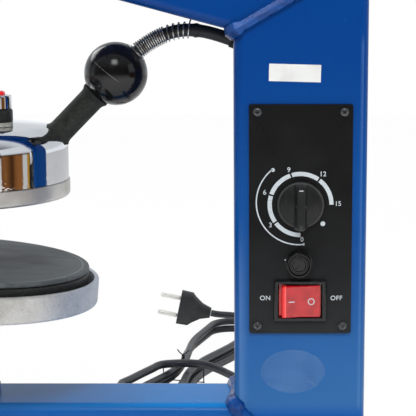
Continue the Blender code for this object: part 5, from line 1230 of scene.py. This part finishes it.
def makeDialPrint():
    s = printSettings
    shapes = []
    half = s["splitGap"] / 2
    for part in range(5):
        first = s["dialFrom"] - s["split"] * part - (half if part else 0)
        last = s["dialFrom"] - s["split"] * (part + 1) + (half if part < 4 else 0)
        shapes.append(arcStrip(s["inner"], s["outer"], first, last, s["arcSteps"]))
    middleX, middleY = s["thinCentre"]
    start = photoSpot(*s["thinStart"])
    end = photoSpot(*s["thinEnd"])
    first = math.degrees(math.atan2(start[1] - middleY, start[0] - middleX))
    last = math.degrees(math.atan2(end[1] - middleY, end[0] - middleX)) % 360
    half = s["thinWidth"] / 2
    arc = arcStrip(s["thinRadius"] - half, s["thinRadius"] + half, first, last, s["thinSteps"])
    bmesh.ops.translate(arc, verts=arc.verts, vec=(middleX * mm, middleY * mm, 0))
    shapes.append(arc)
    shapes += [flatDisc(radius, photoSpot(*pixel)) for pixel, radius in s["dots"]]
    shapes.append(flatBar(s["thinWidth"], 1.5, (end[0] + 0.2, end[1] + 0.9, 0)))
    shapes = [thicken(shape, s["thick"]) for shape in shapes]
    shapes += [wordShape(text, high, photoSpot(*pixel)) for text, pixel, high in printWords]
    addPiece("panelPrint", merged(shapes), "printInk", "frame", (), panelTurn, sharp=30)


knobSettings = {"foot": 0.6, "rim": 14.1, "skirtBevel": 0.12, "top": 13.3, "ribFoot": 4.1, "ribTop": 2.2,
                "ribUp": 13.4, "ribDown": 14.9, "ribLow": 4.0, "leanUp": 1.6, "leanDown": 0.9,
                "ribCorner": 1.7, "ribBevel": 0.4, "mark": (2.3, 0.55), "markSpot": (0, 10.0, 13.35),
                "dimple": (0.45, 0.8, 24), "dimpleSpot": (0, -11.6, 13.31)}


def makeKnob():
    s = knobSettings
    skirt = [(0, s["foot"]), (13.7, s["foot"]), (s["rim"], 1.0), (s["rim"], 2.3), (13.8, 2.8), (13.3, 2.9),
             (13.0, 3.2), (11.6, 4.6), (8.0, 5.6), (0, 5.9)]
    rib = bmesh.new()
    bmesh.ops.create_cube(rib, size=1.0)
    for vert in rib.verts:  # the rib narrows and leans in towards its top
        high = vert.co.z > 0
        x = math.copysign(s["ribTop"] if high else s["ribFoot"], vert.co.x)
        up = s["ribUp"] - (s["leanUp"] if high else 0)
        down = s["ribDown"] - (s["leanDown"] if high else 0)
        vert.co = Vector((x, up if vert.co.y > 0 else -down, s["top"] if high else s["ribLow"])) * mm
    corners = [edge for edge in rib.edges if abs(edge.verts[0].co.z - edge.verts[1].co.z) > 2 * mm]
    bmesh.ops.bevel(rib, geom=corners, offset=s["ribCorner"] * mm, offset_type="OFFSET", segments=4,
                    profile=0.5, affect="EDGES", material=-1, clamp_overlap=True)
    addPiece("knobSkirt", spun(skirt, 96), "knobPlastic", "timer_knob", ["timer_knob"],
             panelTurn, s["skirtBevel"], 30)
    addPiece("knobRib", rib, "knobPlastic", "timer_knob", ["timer_knob"], panelTurn,
             s["ribBevel"], 35)
    dimple = ring(*s["dimple"])
    bmesh.ops.translate(dimple, verts=dimple.verts, vec=Vector(s["dimpleSpot"]) * mm)
    addPiece("knobDimple", thicken(dimple, 0.05), "screwBlack", "timer_knob", (),
             panelTurn, sharp=30)
    mark = flatBar(*s["mark"], s["markSpot"], cuts=(1, 3))
    addPiece("knobMark", thicken(mark, 0.05), "printInk", "timer_knob", (), panelTurn,
             sharp=30)


rockerSettings = {"flush": 2.9, "proud": 6.018, "left": -11.6, "right": 12.2, "back": 6.0, "high": 19.4,
                  "cheek": (9.5, 3.0), "wallEdge": 2.4, "softEdge": 0.7, "skirt": (25.4, 20.0),
                  "skirtStep": (1.2, 0.4), "skirtBack": 2.2, "skirtThick": 1.0, "marksY": -29.72,
                  "circle": (1.55, 2.05, 40), "circleX": 6.6, "dash": (3.6, 0.55),
                  "dashSpot": (-5.4, -0.02), "slope": (3.116, 11.6), "markThick": 0.05}


def makeRocker():
    s = rockerSettings
    centre = Matrix.Translation((place["columnX"], place["panelFace"], place["switchZ"]))
    cheekX, cheekY = s["cheek"]
    outline = [(s["right"], -s["flush"]), (0, -s["flush"]), (s["left"], -s["proud"]), (-cheekX, cheekY),
               (0, s["back"]), (cheekX, cheekY)]
    shape = bmesh.new()
    shape.faces.new([shape.verts.new((x * mm, y * mm, -s["high"] / 2 * mm)) for x, y in outline])
    bmesh.ops.translate(shape, vec=(0, 0, s["high"] * mm), verts=raised(shape))
    bmesh.ops.recalc_face_normals(shape, faces=shape.faces)
    wall = []
    for edge in shape.edges:
        one, other = [vert.co for vert in edge.verts]
        if max(one.y, other.y) < -1 * mm and abs(one.z - other.z) > 1 * mm and one.x < -5 * mm:
            wall.append(edge)
    bmesh.ops.bevel(shape, geom=wall, offset=s["wallEdge"] * mm, offset_type="OFFSET", segments=5,
                    profile=0.5, affect="EDGES", material=-1, clamp_overlap=True)
    addPiece("rockerCap", shape, "redRocker", "rocker", ["switch_rocker"], centre,
             s["softEdge"], 40)
    skirt = flatBar(*s["skirt"], cuts=(2, 2))
    bmesh.ops.inset_region(skirt, faces=skirt.faces[:], thickness=s["skirtStep"][0] * mm,
                           depth=s["skirtStep"][1] * mm)
    behind = centre @ Matrix.Translation((0, s["skirtBack"] * mm, 0)) @ facing
    addPiece("rockerSkirt", thicken(skirt, -s["skirtThick"]), "redRocker", "rocker",
             ["switch_rocker"], behind, sharp=40)


def makeRockerMarks():
    s = rockerSettings
    centre = Matrix.Translation((place["columnX"], s["marksY"] * mm, place["switchZ"]))
    right = centre @ Matrix.Translation((s["circleX"] * mm, 0, 0)) @ facing
    addPiece("offMark", thicken(ring(*s["circle"]), s["markThick"]), "printInk", "rocker",
             (), right, sharp=30)
    tilt = Matrix.Rotation(math.atan2(*s["slope"]), 4, "Z")
    left = centre @ tilt @ Matrix.Translation((s["dashSpot"][0] * mm, s["dashSpot"][1] * mm, 0)) @ facing
    addPiece("onMark", thicken(flatBar(*s["dash"], cuts=(2, 1)), s["markThick"]), "printInk", "rocker",
             (), left, sharp=30)


fuseSettings = {"ribs": 30, "ribShare": 0.014, "flankShare": 0.985, "flank": 7.3, "slot": (6.6, 1.0),
                "slotTurn": 50, "slotZ": 7.6, "slotThick": 0.04}


def makeFuseCap():
    s = fuseSettings
    face = [(0, 7.6), (3.7, 7.6), (4.1, 8.1), (4.9, 8.1), (5.2, 7.7), (5.7, 7.7), (6.1, 8.9), (6.5, 9.35),
            (7.1, 9.35), (7.5, 8.9), (7.5, 2.6), (7.1, 2.3), (3.5, 2.3)]
    shape = spun(face, 120)
    for vert in shape.verts:  # fine ribs round its flank
        if vert.co.to_2d().length > s["flank"] * mm:
            turn = math.atan2(vert.co.y, vert.co.x)
            vert.co.xy *= s["flankShare"] + s["ribShare"] * math.cos(turn * s["ribs"])
    matrix = Matrix.Translation((place["fuseX"], place["panelFace"], place["fuseZ"])) @ facing
    addPiece("fuseCap", shape, "glossPlastic", "fuse_cap", ["fuse_cap"], matrix, sharp=40)
    slot = flatBar(*s["slot"], (0, 0, s["slotZ"]), math.radians(s["slotTurn"]), (2, 1))
    addPiece("fuseSlot", thicken(slot, s["slotThick"]), "blackCoating", "fuse_cap", (),
             matrix, sharp=30)


screwSettings = {"left": 100.19, "right": 151.59, "top": 266, "low": 136.6, "firstTurn": 12, "turnStep": 31,
                 "cross": (2.6, 0.6), "crossZ": 1.84, "crossThick": 0.03}


def makeScrewHeads():
    s = screwSettings
    head = [(0, 0), (2.6, 0), (2.7, 0.25), (2.62, 0.8), (2.2, 1.4), (1.6, 1.75), (1.1, 1.85), (0, 1.85)]
    spots = [(x, z) for z in (s["top"], s["low"]) for x in (s["left"], s["right"])]
    for count, (x, z) in enumerate(spots):
        turn = math.radians(s["firstTurn"] + s["turnStep"] * count)
        matrix = (Matrix.Translation((x * mm, place["panelFace"], z * mm)) @ facing
                  @ Matrix.Rotation(turn, 4, "Z"))
        number = str(count + 1)
        addPiece("screwHead" + number, spun(head, 40), "screwBlack", "frame",
                 ["panel_screw_" + number], matrix, sharp=20)
        bars = [flatBar(*s["cross"], (0, 0, s["crossZ"]), angle, (2, 1)) for angle in (0, math.pi / 2)]
        cross = merged([thicken(bar, s["crossThick"]) for bar in bars])
        addPiece("screwCross" + number, cross, "panelPaint", "frame", (), matrix, sharp=30)


labelSettings = {"lift": 0.02, "paper": (30.6, 10.2), "paperX": -3.6, "paperZ": 288.9, "paperTurn": -1.5,
                 "paperThick": 0.12, "corner": 0.5, "oval": (19.6, 13.6), "ovalX": -4.2, "ovalZ": 107.6,
                 "ovalThick": 0.08, "ovalSteps": 72, "ovalEdge": 0.06}


def makeLabels():
    s = labelSettings
    face = place["frontY"] - s["lift"] * mm
    width, height = s["paper"]
    paper = flatBar(width, height, cuts=(16, 6))
    for vert in paper.verts:  # a corner that lifts a little
        across = max(0, vert.co.x / (width / 2 * mm) - 0.7)
        upward = max(0, vert.co.y / (height / 2 * mm) + 0.1)
        vert.co.z += across * upward * s["corner"] * mm
    matrix = (Matrix.Translation((place["columnX"] + s["paperX"] * mm, face, s["paperZ"] * mm)) @ facing
              @ Matrix.Rotation(math.radians(s["paperTurn"]), 4, "Z"))
    addPiece("paperLabel", thicken(paper, s["paperThick"]), "labelPaper", "frame", (),
             matrix, sharp=30)
    clear = flatDisc(1.0, (0, 0), s["ovalSteps"])
    bmesh.ops.inset_individual(clear, faces=clear.faces[:], thickness=s["ovalEdge"] * mm)
    bmesh.ops.scale(clear, vec=(*s["oval"], 1), verts=clear.verts)
    matrix = Matrix.Translation((place["columnX"] + s["ovalX"] * mm, face, s["ovalZ"] * mm)) @ facing
    addPiece("clearLabel", thicken(clear, s["ovalThick"]), "clearSticker", "frame", (), matrix,
             sharp=30)


makeDialPrint()
makeKnob()
makeRocker()
makeRockerMarks()
makeFuseCap()
makeScrewHeads()
makeLabels()
print("print and labels are on")


# floor, world, lamps, and the cards that only reflections see
def stagePiece(name, shape, look):
    mesh = bpy.data.meshes.new(name)
    shape.to_mesh(mesh)
    shape.free()
    mesh.shade_smooth()
    mesh.materials.append(look)
    made = bpy.data.objects.new(name, mesh)
    bpy.context.collection.objects.link(made)
    return made


stageSettings = {"floorSize": 7.0, "cameraWhite": 0.97, "worldDiffuse": 0.62, "windowGlow": 6.0,
                 "behind": (-0.35, 0.05), "above": (0.25, 0.75), "horizon": (0.02, 0.14), "dimmer": 0.26,
                 "darkSide": 0.05, "ceiling": 0.3, "cool": (0.93, 0.965, 1.0)}
lampBoxes = {
    "keyBox": {"spot": (0.02, -0.95, 1.22), "aim": (0.02, 0, 0.22), "size": 0.42, "power": 13.0},
    "fillBox": {"spot": (1.35, -0.55, 0.75), "aim": (0.08, 0, 0.22), "size": 0.8, "power": 5.0},
    "rimBox": {"spot": (-0.9, 0.75, 1.25), "aim": (0, 0, 0.25), "size": 0.9, "power": 8.0,
               "glossy": True},
}
roomCardPlace = (Matrix.Translation((1.25, -0.42, 0.54)) @ Matrix.Rotation(math.pi / 2, 4, "Y")
                 @ Matrix.Diagonal((1.12, 0.86, 1, 1)))
windowCardPlace = (Matrix.Translation((0.02, -0.96, 1.22)) @ Matrix.Rotation(math.radians(45), 4, "X")
                   @ Matrix.Diagonal((0.7, 0.7, 1, 1)))


def blankTree(holder):
    holder.use_nodes = True
    holder.node_tree.nodes.clear()
    return holder.node_tree


def show(tree, kind, wire):
    tree.links.new(wire.socket, tree.nodes.new(kind).inputs["Surface"])


def makeFloor():
    s = stageSettings
    look = bpy.data.materials.new("paleFloor")
    tree = blankTree(look)
    g = Wire(tree)
    seen = g.node("ShaderNodeLightPath", out=0)
    grain = g.noise(40, 2, 0.5)
    plain = g.node("ShaderNodeBsdfDiffuse", None,
                   {"Color": grain.blend((0.88, 0.88, 0.88), (0.92, 0.92, 0.92))})
    white = g.node("ShaderNodeEmission", None, {"Color": (1, 1, 1, 1), "Strength": 1.0})
    show(tree, "ShaderNodeOutputMaterial",
         g.node("ShaderNodeMixShader", None, {0: seen * s["cameraWhite"], 1: plain, 2: white}))
    shape = bmesh.new()
    bmesh.ops.create_grid(shape, x_segments=4, y_segments=4, size=s["floorSize"] / 2)
    stagePiece("floorSheet", shape, look)


def makeWorld():
    s = stageSettings
    world = bpy.data.worlds.new("studio")
    bpy.context.scene.world = world
    tree = blankTree(world)
    g = Wire(tree)
    path = tree.nodes.new("ShaderNodeLightPath")
    camera, glossy, clear = [Wire(tree, path.outputs[name])
                             for name in ("Is Camera Ray", "Is Glossy Ray", "Is Transmission Ray")]
    where = g.node("ShaderNodeTexCoord", out=0)
    z = g.axis("Z", where)
    behind = g.axis("Y", where).between(*s["behind"])  # 1 behind the object, 0 on the camera's side
    back = behind * (1 - z.between(*s["horizon"]) * s["dimmer"])
    near = (1 - behind) * (s["darkSide"] + z.between(*s["above"]) * s["ceiling"])
    level = camera + clear * (1 - camera)
    rest = 1 - level
    strength = level + rest * (glossy * (back + near) + (1 - glossy) * s["worldDiffuse"])
    tint = (rest * glossy).blend((1.0, 1.0, 1.0), s["cool"])
    show(tree, "ShaderNodeOutputWorld",
         g.node("ShaderNodeBackground", None, {"Color": tint, "Strength": strength}))


def softBox(name, spot, aim, size, power, glossy=False):
    lamp = bpy.data.lights.new(name, "AREA")
    lamp.shape = "SQUARE"
    lamp.size = size
    lamp.energy = power
    made = bpy.data.objects.new(name, lamp)
    made.location = spot
    made.rotation_euler = (Vector(aim) - Vector(spot)).to_track_quat("-Z", "Y").to_euler()
    made.visible_glossy = glossy
    bpy.context.collection.objects.link(made)


def glowCard(name, matrix, paint):
    look = bpy.data.materials.new(name)
    tree = blankTree(look)
    colour, strength = paint(Wire(tree))
    show(tree, "ShaderNodeOutputMaterial",
         colour.node("ShaderNodeEmission", None, {"Color": colour, "Strength": strength}))
    shape = bmesh.new()
    bmesh.ops.create_grid(shape, x_segments=2, y_segments=2, size=0.5, matrix=matrix)
    card = stagePiece(name, shape, look)
    card.visible_camera = False
    card.visible_diffuse = False
    card.visible_shadow = False
    card.visible_transmission = False


def warmRoom(g):
    wood = g.noise(3.0, 4, 0.6, g.spot((1, 1, 0.25)))
    colour = wood.between(0.35, 0.68).blend(linear(172, 112, 62), linear(70, 44, 26))
    y, z = g.axis("Y"), g.axis("Z")
    for low, high, tone in ((-0.22, -0.19, (0.85, 0.85, 0.83)), (-0.09, -0.07, linear(214, 160, 50)),
                            (-0.02, 0.0, linear(60, 44, 34))):  # upright stripes, left to right
        colour = y.between(low, high).blend(colour, tone)
    colour = (z.between(0.24, 0.33) * 0.8).blend(colour, linear(84, 58, 40))
    colour = z.between(0.34, 0.45).blend(colour, (0.8, 0.83, 0.86))
    return colour, z.between(0.36, 0.60, 0.66, 0.95)


def softWindow(g):
    x, z = g.axis("X"), g.axis("Z")
    across = x.between(-0.30, -0.08) * x.between(0.36, 0.12)
    upward = z.between(0.98, 1.16) * z.between(1.44, 1.28)
    return across.blend((0.9, 0.95, 1.0), (1.0, 1.0, 1.0)), across * upward * stageSettings["windowGlow"]


bpy.context.scene.view_settings.view_transform = "Standard"
makeFloor()
makeWorld()
glowCard("roomCard", roomCardPlace, warmRoom)
glowCard("windowCard", windowCardPlace, softWindow)
for boxName, boxSettings in lampBoxes.items():
    softBox(boxName, **boxSettings)
print("floor and lamps are set")
